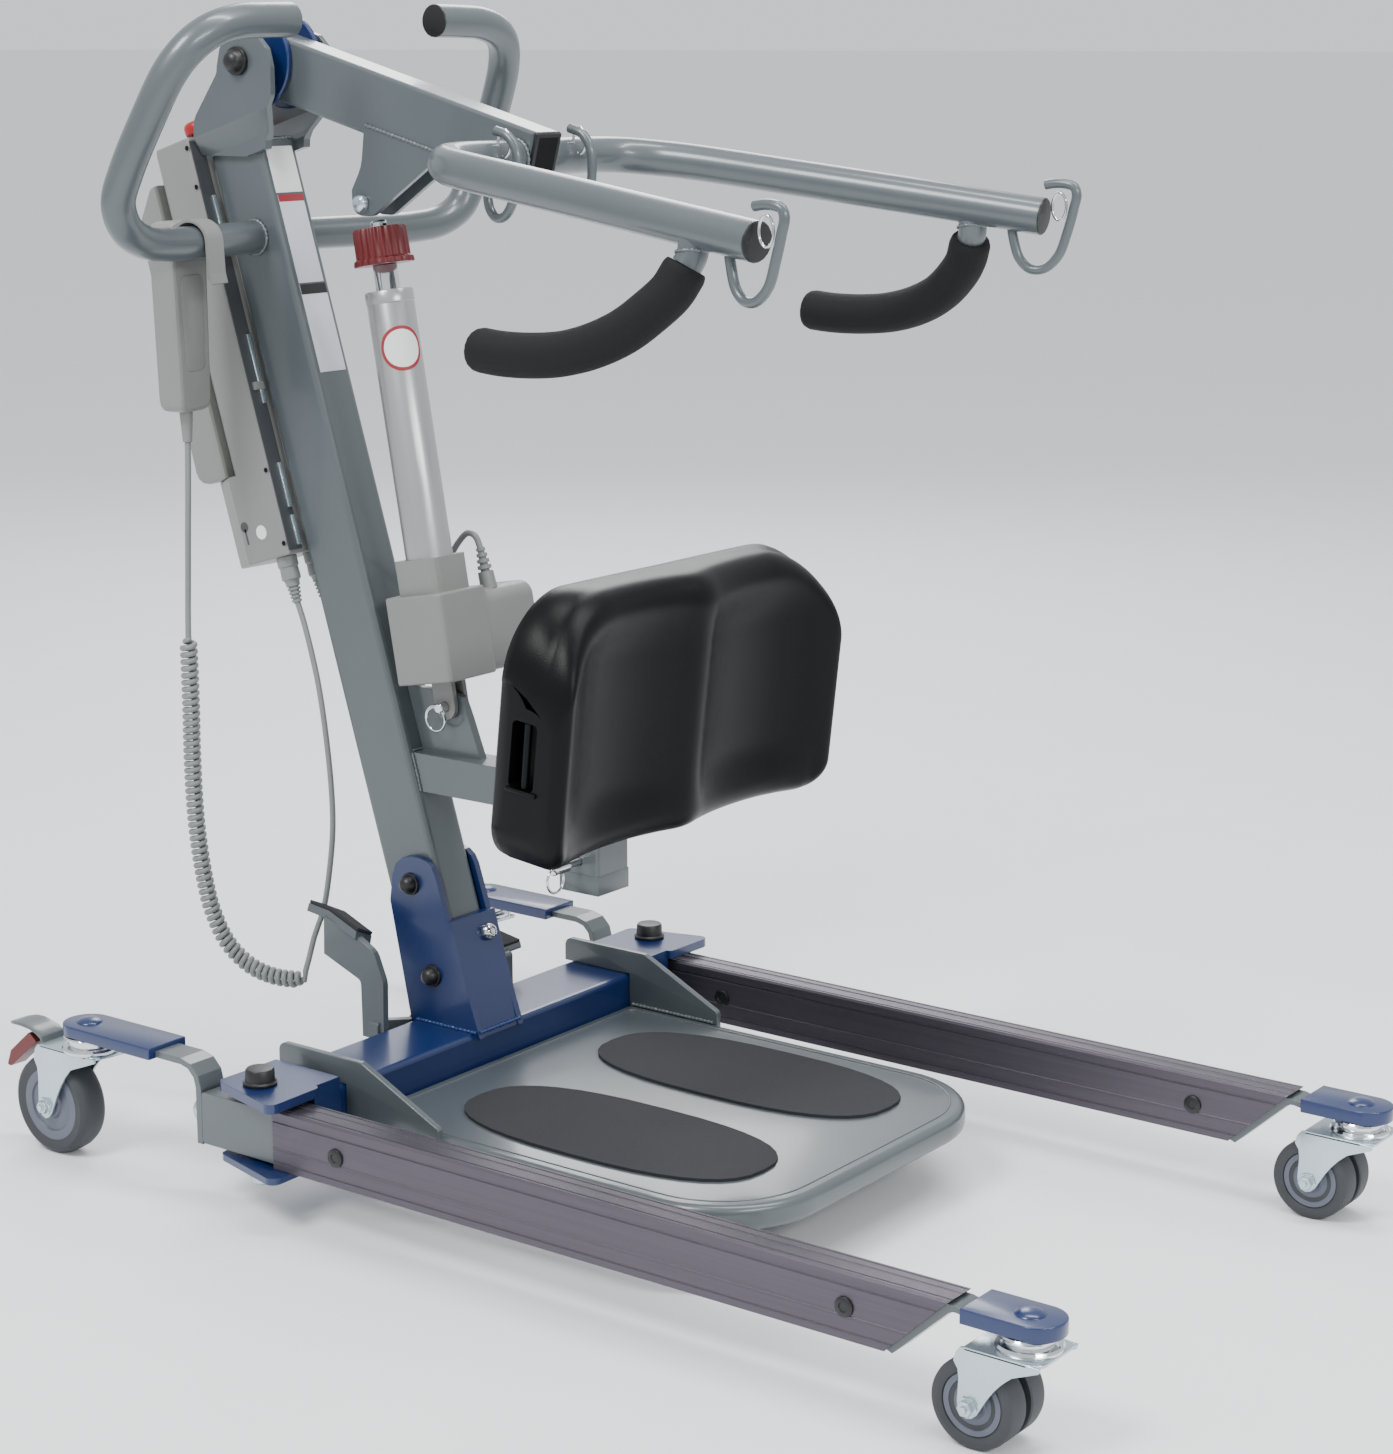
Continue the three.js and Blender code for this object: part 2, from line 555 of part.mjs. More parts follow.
function makeFootPin() {
  const profile = [[0, -21], [4, -21], [5, -20], [5, 13], [8, 13], [8, 17], [0, 17]];
  const shank = turned(profile, 'x', [0, FOOT_PIN.y, FOOT_PIN.z]);
  return join(shank, torus('x', [-17.5, FOOT_PIN.y + 6, FOOT_PIN.z - 11], 12.5, 1.3));
}

// ---- power: control box, battery, emergency stop, plugs and leads ---------------------------------------
const CONTROL = { bottom: 614, step: 704, top: 1034, near: 4, far: 72, deep: 96, halfWidth: 45 };

const STOP = { x: -17, v: 14 };

function boxPlan(far, shoulder) {
  const { near, halfWidth } = CONTROL;
  const rearFace = MAST.depth;
  return [
    [-halfWidth, rearFace + near, 3], [-halfWidth, rearFace + shoulder], [-halfWidth + 20, rearFace + far, 5],
    [halfWidth - 20, rearFace + far, 5], [halfWidth, rearFace + shoulder], [halfWidth, rearFace + near, 3],
  ];
}

function makeControlBox() {
  const { bottom, step, top, near, far, deep } = CONTROL;
  const rearFace = MAST.depth;
  const upper = extrudeZ(outline(boxPlan(far, 50)), bottom + 1, top, 2);
  const lower = extrudeZ(outline(boxPlan(deep, 62)), bottom, step, 2);
  const rail = extrudeZ(outline(rectangle(-18, 18, rearFace + GAP, rearFace + near + 2)), bottom + 20, 1000);
  const stopRecess = rod('z', [STOP.x, rearFace + STOP.v, 0], 8.4, top - 12, top + 5);
  return onMast(cut(join(upper, lower, rail), stopRecess));
}

function makeBattery() {
  const rearFace = MAST.depth + CONTROL.far + GAP;
  const low = CONTROL.step + GAP;
  const side = [
    [rearFace, low], [rearFace + 42, low, 14], [rearFace + 36, 972, 12], [rearFace + 8, 1004, 6], [rearFace, 1004],
  ];
  return onMast(extrudeX(outline(side), -38, 38, 4));
}

function makeEmergencyStop() {
  const { top } = CONTROL;
  const profile = [
    [0, top - 8], [8, top - 8], [8, top + 4], [13, top + 4], [14, top + 13], [12, top + 17], [0, top + 18],
  ];
  return onMast(turned(profile, 'z', [STOP.x, MAST.depth + STOP.v, 0], 18));
}

const HANDSET = { x: -117, y: 250.5, z: 801, yaw: 0.1936, lean: -0.0175, halfHeight: 91 };
const BUTTONS = [['up', 36], ['down', 8]];

function onHandset(body) {
  const { x, y, z, yaw, lean } = HANDSET;
  const place = new THREE.Matrix4().makeRotationZ(yaw);
  place.multiply(new THREE.Matrix4().makeRotationX(lean)).setPosition(x, y, z);
  return body.transform(place.elements);
}

function makeHandset() {
  const { halfHeight } = HANDSET;
  const face = [[-25, -halfHeight, 12], [25, -halfHeight, 12], [30, halfHeight, 12], [-30, halfHeight, 12]];
  const shell = extrudeY(outline(face), -14, 14, 4);
  const relief = turned([[0, -30], [4.6, -30], [6.5, -2], [6.5, 4], [0, 4]], 'z', [0, 0, -halfHeight], 12);
  const recesses = BUTTONS.map(([, height]) => rod('y', [0, 0, height], 8.6, 9, 20));
  const [handleY, handleZ] = [-32.4, 72.8];
  const [inner, outer] = [HANDLE_RADIUS + 2, HANDLE_RADIUS + 4.6];
  const strap = new THREE.Shape();
  strap.moveTo(handleY + inner, handleZ - 4);
  strap.absarc(handleY, handleZ, inner, 0, Math.PI, false);
  strap.lineTo(handleY - inner - 1, handleZ - 34);
  strap.lineTo(handleY - inner - 6, handleZ - 40);
  strap.lineTo(handleY - outer - 1, handleZ - 30);
  strap.lineTo(handleY - outer, handleZ);
  strap.absarc(handleY, handleZ, outer, Math.PI, 0, true);
  strap.lineTo(handleY + outer, handleZ - 4);
  strap.closePath();
  return onHandset(join(cut(join(shell, relief), ...recesses), extrudeX(strap, -27, 0)));
}

function makeButton(height) {
  return onHandset(rod('y', [0, 0, height], 8, 10.5, 15.5, 18));
}

const PLUGS = { box: [[-30, 24], [8, 24]], bottom: CONTROL.bottom };

function makePlug([x, v]) {
  const { bottom } = PLUGS;
  const profile = [
    [0, bottom - 46], [4.6, bottom - 46], [5.6, bottom - 28], [9, bottom - 24], [10.5, bottom - GAP], [0, bottom - GAP],
  ];
  return onMast(turned(profile, 'z', [x, MAST.depth + v, 0], 14));
}

// The handset's cord hangs free from the handset down to the coil, and rises again to its plug.
const CORD_UPPER = [
  [-116.6, 248.2, 679.6], [-116.6, 248.6, 665], [-116.3, 250.5, 630], [-115.3, 254, 585], [-113.6, 258, 540],
  [-112, 261.5, 505], [-111.4, 262.8, 485],
];
const CORD_COIL = [
  [-111.4, 262.9, 484.5], [-110.5, 263.5, 420], [-108.5, 266.5, 358], [-107, 266, 297], [-104, 262, 245],
  [-99, 256, 203], [-91, 243.4, 168], [-82, 222.2, 146], [-74, 195.2, 137], [-62, 165.1, 135.5],
];
const CORD_LOWER = [
  [-61, 164.5, 145.6], [-56, 164, 158], [-49, 163, 178], [-39, 158.5, 206], [-34.5, 152.5, 250], [-33, 148.5, 291],
  [-32.5, 149.5, 331], [-32, 155, 381], [-31.5, 163.5, 431], [-31, 174, 470], [-30.3, 184.5, 500], [-30, 191.2, 515.3],
];
const MOTOR_LEAD = [
  [8, 191.2, 515.3], [8.4, 186, 499], [12, 180, 482], [21, 173, 469], [34, 162, 463], [42, 146, 467], [45, 126, 478],
  [47, 104, 498], [50, 84, 524], [53, 66, 556], [55, 52, 578], [56, 41, 588], [56, 31, 586], [56, 24.5, 574],
];

function makeMotorLead() {
  const lead = bar(MOTOR_LEAD, CORD.radius, 32, 8);
  const relief = bar([[56, 25, 576], [56, 21, 562], [56, 16.6, 543]], 6, 3, 10);
  return join(lead, relief);
}

// ---- leg spreader pedal ------------------------------------------------------------------------------------
const PEDAL_PIVOT = { x: 0, z: 85 };

function makeSpreaderPedal() {
  const hub = turned([[9, 50], [20, 50], [20, 72], [9, 72], [9, 50]], 'y', [PEDAL_PIVOT.x, 0, PEDAL_PIVOT.z], 16);
  const rocker = [[-78, 98], [-78, 116], [-64, 116], [0, 101], [112, 118], [128, 118], [128, 100], [20, 66], [-20, 66]];
  const crossbar = cut(
    extrudeY(outline(rocker, 3), 52, 64),
    rod('y', [PEDAL_PIVOT.x, 0, PEDAL_PIVOT.z], 15, 40, 80),
  );
  const nearSide = [
    [47, 98], [46, 158, 16], [58, 187, 14], [80, 199, 4], [124, 213], [125, 174], [76, 155, 6], [75, 98],
  ];
  const nearArm = extrudeX(outline(nearSide), -75, -68);
  const padSide = [[79, 197], [80, 205], [122, 219, 6], [150, 222], [150, 214], [124, 211, 6]];
  const slope = new THREE.Matrix4().makeRotationY(THREE.MathUtils.degToRad(24));
  const nearPad = extrudeX(outline(padSide), 0, 24)
    .translate(0, 0, -205)
    .transform(slope.elements)
    .translate(-75.4, 0, 205);
  const farSide = [[50, 98], [50, 140, 4], [70, 146], [112, 151], [112, 136], [78, 122, 8], [76, 98]];
  const farArm = extrudeX(outline(farSide), 116, 126);
  const farPad = extrudeX(outline([[56, 137], [58, 145], [132, 158], [134, 150]], 2), 100, 148);
  return join(hub, crossbar, nearArm, nearPad, farArm, farPad);
}

// ---- legs --------------------------------------------------------------------------------------------------
function makeLegTube() {
  const { x, halfWidth, bottom, top, rear, front, rake } = LEG;
  const side = [[rear, bottom, 3], [front + rake, bottom], [front, top], [rear, top, 3]];
  const outer = extrudeX(outline(side), x - halfWidth, x + halfWidth);
  const wall = 3;
  const inner = box(x - halfWidth + wall, x + halfWidth - wall, front - 5, rear + 5, bottom + wall, top - wall);
  const beak = [
    [front + rake + 10, bottom], [front + rake - 2, bottom - 5], [front - 4, top - 5, 8], [CASTER.padRear + GAP, top - 7.4],
    [CASTER.padRear + GAP, top - 3], [front - 6, top, 4], [front + 2, top],
  ];
  const strap = extrudeX(outline(beak), x - halfWidth + 1, x + halfWidth - 1);
  const bolt = rod('z', [x, 0, 0], 8.4, 40, 130);
  const bushing = rod('z', [x, 0, 0], 11.5, bottom + 1, top - 1);
  return cut(join(cut(outer, inner), strap, bushing), bolt);
}

function makeLegCover() {
  const { x, halfWidth, front, rake } = LEG;
  const { rear, wall, bottom, top } = COVER;
  const run = (z) => front + (rake * (LEG.top - z)) / (LEG.top - LEG.bottom);
  const side = [[rear, bottom], [run(bottom), bottom], [run(top), top], [rear, top]];
  const outerHalf = halfWidth + GAP + wall;
  const outer = extrudeX(outline(side), x - outerHalf, x + outerHalf);
  const channel = box(x - halfWidth - GAP, x + halfWidth + GAP, front - 60, rear + 5, bottom - 5, LEG.top + GAP);
  const ribs = [-1, 1].map((s) => box(
    x + s * (outerHalf - 0.4) - 0.9, x + s * (outerHalf - 0.4) + 0.9, -690, rear - 1, 92, 96,
  ));
  return join(cut(outer, channel), ...ribs);
}

function makeRearArm() {
  const { x, rear } = LEG;
  const [outerY, padTop] = [rear + GAP, CASTER.rearPadTop];
  const profile = [
    [outerY, 57], [outerY, padTop - 4, 26], [122, padTop - 4], [122, padTop - 10], [outerY + 7, padTop - 10, 19],
    [outerY + 7, 57],
  ];
  const strip = extrudeX(outline(profile), x - 15, x + 15);
  const boltSteps = [[0, outerY + 5], [9, outerY + 5], [9, outerY + 10], [6, outerY + 14], [0, outerY + 15]];
  const bolt = turned(boltSteps, 'y', [x, 0, 88], 16);
  return join(strip, bolt);
}

function makeRearSleeve() {
  const { rearX, rearY, rearPadTop } = CASTER;
  const tip = rearY + 26;
  const plan = [[rearX - 24, 122.4], [rearX + 24, 122.4], [rearX + 24, tip, 23.5], [rearX - 24, tip, 23.5]];
  return extrudeZ(outline(plan), rearPadTop - 11.5, rearPadTop, 1.5);
}

function makeFrontPad() {
  const { frontX, frontY, padRear, frontPadTop } = CASTER;
  const tip = frontY - 30;
  const plan = [[frontX - 24, padRear], [frontX + 24, padRear], [frontX + 24, tip, 23.5], [frontX - 24, tip, 23.5]];
  return extrudeZ(outline(plan), frontPadTop - 13, frontPadTop, 1.5);
}

// ---- casters -----------------------------------------------------------------------------------------------
// Drawn about the stem at the group's origin, wheel trailing to +Y, floor at z = 0.
function makeFork(wheel, padUnder, plateTop) {
  const { radius, trail, cheek } = wheel;
  const sheet = 3;
  const crown = extrudeZ(
    outline([[-cheek, -20, 14], [cheek, -20, 14], [cheek, trail + 6], [-cheek, trail + 6]]),
    plateTop - sheet,
    plateTop,
  );
  const races = [
    [0, plateTop - 1], [24, plateTop - 1], [26, plateTop + 2], [22, plateTop + 5], [22, padUnder - 1],
    [24, padUnder], [0, padUnder],
  ];
  const bearing = turned(races, 'z', [0, 0, 0], 16);
  const side = [
    [-20, plateTop - 0.5, 2], [-20, plateTop - 9, 4], [trail - 11, radius - 2, 8], [trail, radius - 14, 8],
    [trail + 11, radius, 8], [trail + 6, plateTop - 0.5],
  ];
  const cheeks = join(
    extrudeX(outline(side), cheek - sheet, cheek),
    extrudeX(outline(side), -cheek, -cheek + sheet),
  );
  const steps = [
    [0, -cheek - 5], [6.5, -cheek - 5], [6.5, -cheek + 1], [4, -cheek + 1], [4, cheek - 1], [6.5, cheek - 1],
    [6.5, cheek + 5], [0, cheek + 5],
  ];
  const axle = turned(steps, 'x', [0, trail, radius], 8);
  return join(crown, bearing, cheeks, axle);
}

function makeTwinWheel({ radius, width, trail }) {
  const [half, groove, bore] = [width / 2, 4, 4.6];
  const profile = [
    [bore, -half], [12, -half + 3], [radius - 11, -half + 3], [radius - 4, -half], [radius, -half + 4],
    [radius, -groove], [17, -groove], [17, groove], [radius, groove], [radius, half - 4],
    [radius - 4, half], [radius - 11, half - 3], [12, half - 3], [bore, half], [bore, -half],
  ];
  return turned(profile, 'x', [0, trail, radius], 20);
}

function makeSingleWheel({ radius, width, trail }) {
  const [half, bore] = [width / 2, 4.6];
  const profile = [
    [bore, -half], [16, -half + 4], [32, -half + 4], [radius - 8, -half], [radius - 2, -half + 5], [radius, -5],
    [radius, 5], [radius - 2, half - 5], [radius - 8, half], [32, half - 4], [16, half - 4], [bore, half],
    [bore, -half],
  ];
  return turned(profile, 'x', [0, trail, radius], 24);
}

// The brake pedal rocks on the fork about y = 58, z = 108.
function makeBrakePedal() {
  const lever = extrudeX(
    outline([[54, 104], [54, 113], [70, 122], [104, 124], [106, 119], [78, 114], [70, 104]], 1),
    -15,
    15,
  );
  const tab = extrudeX(outline([[66, 104], [76, 116], [106, 92], [112, 76], [106, 76]]), -9, 9);
  return join(lever, tab);
}

// ---- assembly ----------------------------------------------------------------------------------------------
addPart('base_frame', makeBaseFrame(), BLUE);
addPart('footplate', makeFootplate(), GREY);
addPart('mast', makeMast(), GREY);
addPart('boom_pivot_bolt', makeBoomPivotBolt(), BLACK);
addPart('knee_bar', makeKneeBar(), GREY);
addPart('actuator_foot_pin', makeFootPin(), CHROME);
addPart('knee_post', makeKneePost(), GREY);
addPart('knee_pad', makeKneePad(), BLACK);
addPart('knee_height_pin', makeKneePin(), CHROME);

addPart('boom', makeBoom(), GREY);
addPart('boom_end_cap', makeBoomEndCap(), BLACK);
addPart('pivot_hub', makePivotHub(), BLUE);
addPart('actuator_rod_pin', makeRodPin(), ZINC);

addPart('actuator_housing', makeActuatorHousing(), PLASTIC);
addPart('actuator_tube', makeActuatorTube(), SILVER);
addPart('actuator_rod', makeActuatorRod(), CHROME);
addPart('release_knob', makeReleaseKnob(), RED);

addPart('control_box', makeControlBox(), PLASTIC);
addPart('battery_pack', makeBattery(), PLASTIC);
addPart('emergency_stop', makeEmergencyStop(), RED);
addPart('handset', makeHandset(), PLASTIC);
for (const [name, height] of BUTTONS) addPart(`handset_button_${name}`, makeButton(height), BLACK);
addPart('handset_plug', makePlug(PLUGS.box[0]), CABLE);
addPart('actuator_plug', makePlug(PLUGS.box[1]), CABLE);
addPart('handset_cord_upper', bar(CORD_UPPER, CORD.radius, 10, 8), CABLE);
addPart('handset_cord_coil', bar(CORD_COIL, CORD.coilRadius, 20, 12), CABLE);
addPart('handset_cord_lower', bar(CORD_LOWER, CORD.radius, 24, 8), CABLE);
addPart('actuator_lead', makeMotorLead(), CABLE);
addPart('spreader_pedal', makeSpreaderPedal(), GREY);

const legTube = makeLegTube();
const legCover = makeLegCover();
const rearArm = makeRearArm();
const rearSleeve = makeRearSleeve();
const frontPad = makeFrontPad();
for (const [name, side] of SIDES) {
  const facing = (body) => (side > 0 ? body : mirrorX(body));
  addPart(`foot_pad_${name}`, makeFootPad(side), RUBBER);
  addPart(`leg_bolt_${name}`, makeLegBolt(side), BLACK);
  addPart(`push_handle_${name}`, makePushHandle(side), GREY);
  addPart(`arm_${name}`, makeArm(side), GREY);
  addPart(`grip_${name}`, makeGrip(side), BLACK);
  addPart(`leg_tube_${name}`, facing(legTube), GREY);
  addPart(`leg_cover_${name}`, facing(legCover), ALUMINIUM);
  addPart(`rear_arm_${name}`, facing(rearArm), GREY);
  addPart(`rear_sleeve_${name}`, facing(rearSleeve), BLUE);
  addPart(`front_pad_${name}`, facing(frontPad), BLUE);

  const frontCaster = new THREE.Group();
  frontCaster.position.set(side * CASTER.frontX, CASTER.frontY, 0);
  lift.add(frontCaster);
  addPart(`front_fork_${name}`, makeFork(FRONT_WHEEL, CASTER.frontPadTop - 13 - GAP, 86), ZINC, frontCaster);
  addPart(`front_wheel_${name}`, makeTwinWheel(FRONT_WHEEL), WHEEL, frontCaster);

  const rearCaster = new THREE.Group();
  rearCaster.position.set(side * CASTER.rearX, CASTER.rearY, 0);
  lift.add(rearCaster);
  addPart(`rear_fork_${name}`, makeFork(REAR_WHEEL, CASTER.rearPadTop - 11.5 - GAP, 112), ZINC, rearCaster);
  addPart(`rear_wheel_${name}`, makeSingleWheel(REAR_WHEEL), WHEEL, rearCaster);
  addPart(`brake_pedal_${name}`, makeBrakePedal(), RED, rearCaster);
}

export default lift;
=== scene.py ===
import math

import bmesh
import bpy
from mathutils import Matrix, Vector


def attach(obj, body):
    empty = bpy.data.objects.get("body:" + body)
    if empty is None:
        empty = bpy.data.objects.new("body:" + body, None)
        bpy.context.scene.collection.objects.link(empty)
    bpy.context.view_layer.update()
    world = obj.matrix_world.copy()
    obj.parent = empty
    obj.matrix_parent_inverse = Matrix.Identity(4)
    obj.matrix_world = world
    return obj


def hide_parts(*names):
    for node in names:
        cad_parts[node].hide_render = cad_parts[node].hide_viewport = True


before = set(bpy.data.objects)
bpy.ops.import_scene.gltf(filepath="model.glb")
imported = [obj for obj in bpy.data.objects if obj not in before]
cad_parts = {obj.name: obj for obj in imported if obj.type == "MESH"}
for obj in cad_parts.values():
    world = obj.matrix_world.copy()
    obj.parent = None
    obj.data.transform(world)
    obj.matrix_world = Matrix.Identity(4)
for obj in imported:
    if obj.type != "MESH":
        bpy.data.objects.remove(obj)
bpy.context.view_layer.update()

# ---- places: millimetres in the drawing's own frame become metres in the row frame ----
PIVOT_Y = 229.9
LEAN = math.atan(0.3045)
ACTUATOR_LEAN = math.atan2(86, 481)
SIDES = (("right", -1), ("left", 1))
LEG_X = 293  # the leg's pivot
FRONT_X, FRONT_Y, FRONT_TRAIL, FRONT_RADIUS = 295, -819, 36, 37.5  # front caster: stem, trail and wheel
REAR_X, REAR_Y, REAR_TRAIL, REAR_RADIUS = 292, 229, 46, 50


def turn(angle, axis):
    return Matrix.Rotation(angle, 4, axis)


HERE = Matrix.Identity(4)
MAST = Matrix.Translation((0, -63.7, 0)) @ turn(-LEAN, "X")
ACTUATOR = Matrix.Translation((0, 16, 428)) @ turn(-ACTUATOR_LEAN, "X")
HANDSET = Matrix.Translation((-117, 250.5, 801)) @ turn(0.1936, "Z") @ turn(-0.0175, "X")
BOOM = Matrix.Translation((0, 235, 1041)) @ turn(math.radians(15), "X")
PAD = Matrix.Translation((0, -221, 474)) @ turn(math.radians(6.5), "X")


def place(point, where=HERE):
    return (where @ Vector(point) + Vector((0, PIVOT_Y, 0))) / 1000


def smooth_route(points, step=6.0):
    """Centripetal Catmull-Rom curve through given points, about every step millimetres."""
    pts = [Vector(p) for p in points]
    pts = [pts[0] * 2 - pts[1], *pts, pts[-1] * 2 - pts[-2]]
    out = []
    for p0, p1, p2, p3 in zip(pts, pts[1:], pts[2:], pts[3:]):
        t0 = 0.0
        t1 = t0 + max((p1 - p0).length, 1e-6) ** 0.5
        t2 = t1 + max((p2 - p1).length, 1e-6) ** 0.5
        t3 = t2 + max((p3 - p2).length, 1e-6) ** 0.5
        count = max(1, round((p2 - p1).length / step))
        for i in range(count):
            t = t1 + (t2 - t1) * i / count
            a1 = p0 * ((t1 - t) / (t1 - t0)) + p1 * ((t - t0) / (t1 - t0))
            a2 = p1 * ((t2 - t) / (t2 - t1)) + p2 * ((t - t1) / (t2 - t1))
            a3 = p2 * ((t3 - t) / (t3 - t2)) + p3 * ((t - t2) / (t3 - t2))
            b1 = a1 * ((t2 - t) / (t2 - t0)) + a2 * ((t - t0) / (t2 - t0))
            b2 = a2 * ((t3 - t) / (t3 - t1)) + a3 * ((t - t1) / (t3 - t1))
            out.append(b1 * ((t2 - t) / (t2 - t1)) + b2 * ((t - t1) / (t2 - t1)))
    out.append(pts[-2])
    return out


# ---- materials: all procedural ----
def srgb(r, g, b):
    def lin(c):
        c /= 255
        return c / 12.92 if c <= 0.04045 else ((c + 0.055) / 1.055) ** 2.4

    return (lin(r), lin(g), lin(b), 1.0)


def material(name, colour, rough, metal=0.0, grain=900.0, bump=0.1, depth=0.0003, vary=0.05,
             stretch=(1, 1, 1), coat=0.0, rough_vary=0.05, soften=0.0, sheen=0.0, cells=False, specular=0.5):
    mat = bpy.data.materials.new(name)
    mat.use_nodes = True
    tree = mat.node_tree
    shader = tree.nodes["Principled BSDF"]
    new = tree.nodes.new
    link = tree.links.new
    coords = new("ShaderNodeTexCoord")
    mapping = new("ShaderNodeMapping")
    mapping.inputs["Scale"].default_value = stretch
    link(coords.outputs["Object"], mapping.inputs["Vector"])

    broad = new("ShaderNodeTexNoise")
    broad.inputs["Scale"].default_value = 9.0
    broad.inputs["Detail"].default_value = 4.0
    link(mapping.outputs["Vector"], broad.inputs["Vector"])
    ramp = new("ShaderNodeValToRGB")
    ramp.color_ramp.elements[0].position = 0.3
    ramp.color_ramp.elements[1].position = 0.7
    ramp.color_ramp.elements[0].color = tuple(c * (1 - vary) for c in colour[:3]) + (1.0,)
    ramp.color_ramp.elements[1].color = tuple(min(1.0, c * (1 + vary)) for c in colour[:3]) + (1.0,)
    link(broad.outputs["Fac"], ramp.inputs["Fac"])
    link(ramp.outputs["Color"], shader.inputs["Base Color"])

    if cells:
        fine = new("ShaderNodeTexVoronoi")
        height = fine.outputs["Distance"]
    else:
        fine = new("ShaderNodeTexNoise")
        fine.inputs["Detail"].default_value = 3.0
        height = fine.outputs["Fac"]
    fine.inputs["Scale"].default_value = grain
    link(mapping.outputs["Vector"], fine.inputs["Vector"])
    spread = new("ShaderNodeMapRange")
    spread.inputs["To Min"].default_value = max(0.02, rough - rough_vary)
    spread.inputs["To Max"].default_value = min(1.0, rough + rough_vary)
    link(broad.outputs["Fac"], spread.inputs["Value"])
    link(spread.outputs["Result"], shader.inputs["Roughness"])
    ridge = new("ShaderNodeBump")
    ridge.inputs["Strength"].default_value = bump
    ridge.inputs["Distance"].default_value = depth
    link(height, ridge.inputs["Height"])
    if soften > 0:
        edge = new("ShaderNodeBevel")
        edge.samples = 4
        edge.inputs["Radius"].default_value = soften
        link(edge.outputs["Normal"], ridge.inputs["Normal"])
    link(ridge.outputs["Normal"], shader.inputs["Normal"])
    shader.inputs["Metallic"].default_value = metal
    shader.inputs["Coat Weight"].default_value = coat
    shader.inputs["Coat Roughness"].default_value = 0.12
    shader.inputs["Sheen Weight"].default_value = sheen
    shader.inputs["Specular IOR Level"].default_value = specular
    return mat


GREY = material("grey_paint", srgb(78, 85, 88), 0.34, 0.15, 1500, 0.12, 0.0002, 0.05, coat=0.35, soften=0.0012)
BLUE = material("blue_paint", srgb(14, 36, 82), 0.32, 0.1, 1500, 0.12, 0.0002, 0.07, coat=0.4, soften=0.0012)
BLACK = material("black_plastic", srgb(14, 14, 15), 0.42, 0.0, 1800, 0.15, 0.0002, 0.1)
MAT = material("rubber_pad", srgb(44, 45, 48), 0.88, 0.0, 1300, 0.9, 0.0006, 0.12, specular=0.25)
SKIN = material("pad_skin", srgb(7, 7, 8), 0.36, 0.0, 1100, 0.3, 0.0003, 0.1, cells=True, rough_vary=0.06,
                specular=0.14)
FOAM = material("foam_grip", srgb(15, 15, 16), 0.82, 0.0, 1500, 0.8, 0.0005, 0.15, specular=0.3)
PLASTIC = material("light_plastic", srgb(120, 121, 118), 0.46, 0.0, 2200, 0.25, 0.0002, 0.03, soften=0.001)
# dark grey trim; the same material is also painted as shade on the control box's front face
RAIL_AND_SHADE = material("dark_rail_and_painted_shade", srgb(62, 65, 68), 0.5, 0.1, 1600, 0.15, 0.0002, 0.06)
EXTRUSION = material("leg_aluminium", srgb(88, 83, 92), 0.36, 0.75, 420, 0.5, 0.0002, 0.07, (30, 0.5, 30))
SATIN = material("tube_aluminium", srgb(168, 169, 169), 0.3, 0.7, 900, 0.15, 0.0001, 0.03, (1, 1, 0.1))
ZINC = material("zinc", srgb(186, 200, 206), 0.24, 0.85, 260, 0.2, 0.0002, 0.1, soften=0.0008)
CHROME = material("chrome", srgb(214, 216, 218), 0.1, 1.0, 700, 0.05, 0.0001, 0.03)
RED = material("red_plastic", srgb(92, 14, 18), 0.36, 0.0, 1800, 0.15, 0.0002, 0.07, soften=0.0006)
SIGNAL = material("signal_red", srgb(160, 14, 20), 0.3, 0.0, 1800, 0.1, 0.0002, 0.06)
TREAD = material("wheel_tyre", srgb(48, 51, 54), 0.6, 0.0, 1400, 0.35, 0.0003, 0.08)
HUB = material("wheel_hub", srgb(84, 88, 101), 0.42, 0.0, 1800, 0.15, 0.0002, 0.05)
CABLE = material("cable", srgb(118, 122, 120), 0.45, 0.0, 2200, 0.15, 0.0001, 0.04)
PAPER = material("label_white", srgb(226, 226, 224), 0.5, 0.0, 2600, 0.1, 0.0001, 0.015)
PALE = material("label_pale", srgb(196, 198, 206), 0.5, 0.0, 2600, 0.1, 0.0001, 0.02)
MAROON = material("label_red", srgb(142, 34, 42), 0.5, 0.0, 2600, 0.1, 0.0001, 0.03)
WELD = material("weld", srgb(92, 99, 102), 0.26, 0.2, 620, 0.9, 0.0006, 0.08, coat=0.4)
WELD_BLUE = material("weld_blue", srgb(22, 48, 98), 0.26, 0.1, 620, 0.9, 0.0006, 0.08, coat=0.4)
# near-black and matte: painted shade for the dark inside holes, slots and recesses that are not cut
HOLE_SHADE = material("hole_painted_shade", srgb(10, 10, 11), 0.8, 0.0, 1500, 0.2, 0.0002, 0.1, specular=0.2)


# ---- pieces ----
def finished(obj, mat, body, stands_for=None):
    obj.data.materials.append(mat)
    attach(obj, body)
    if stands_for:
        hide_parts(*([stands_for] if isinstance(stands_for, str) else stands_for))
    return obj


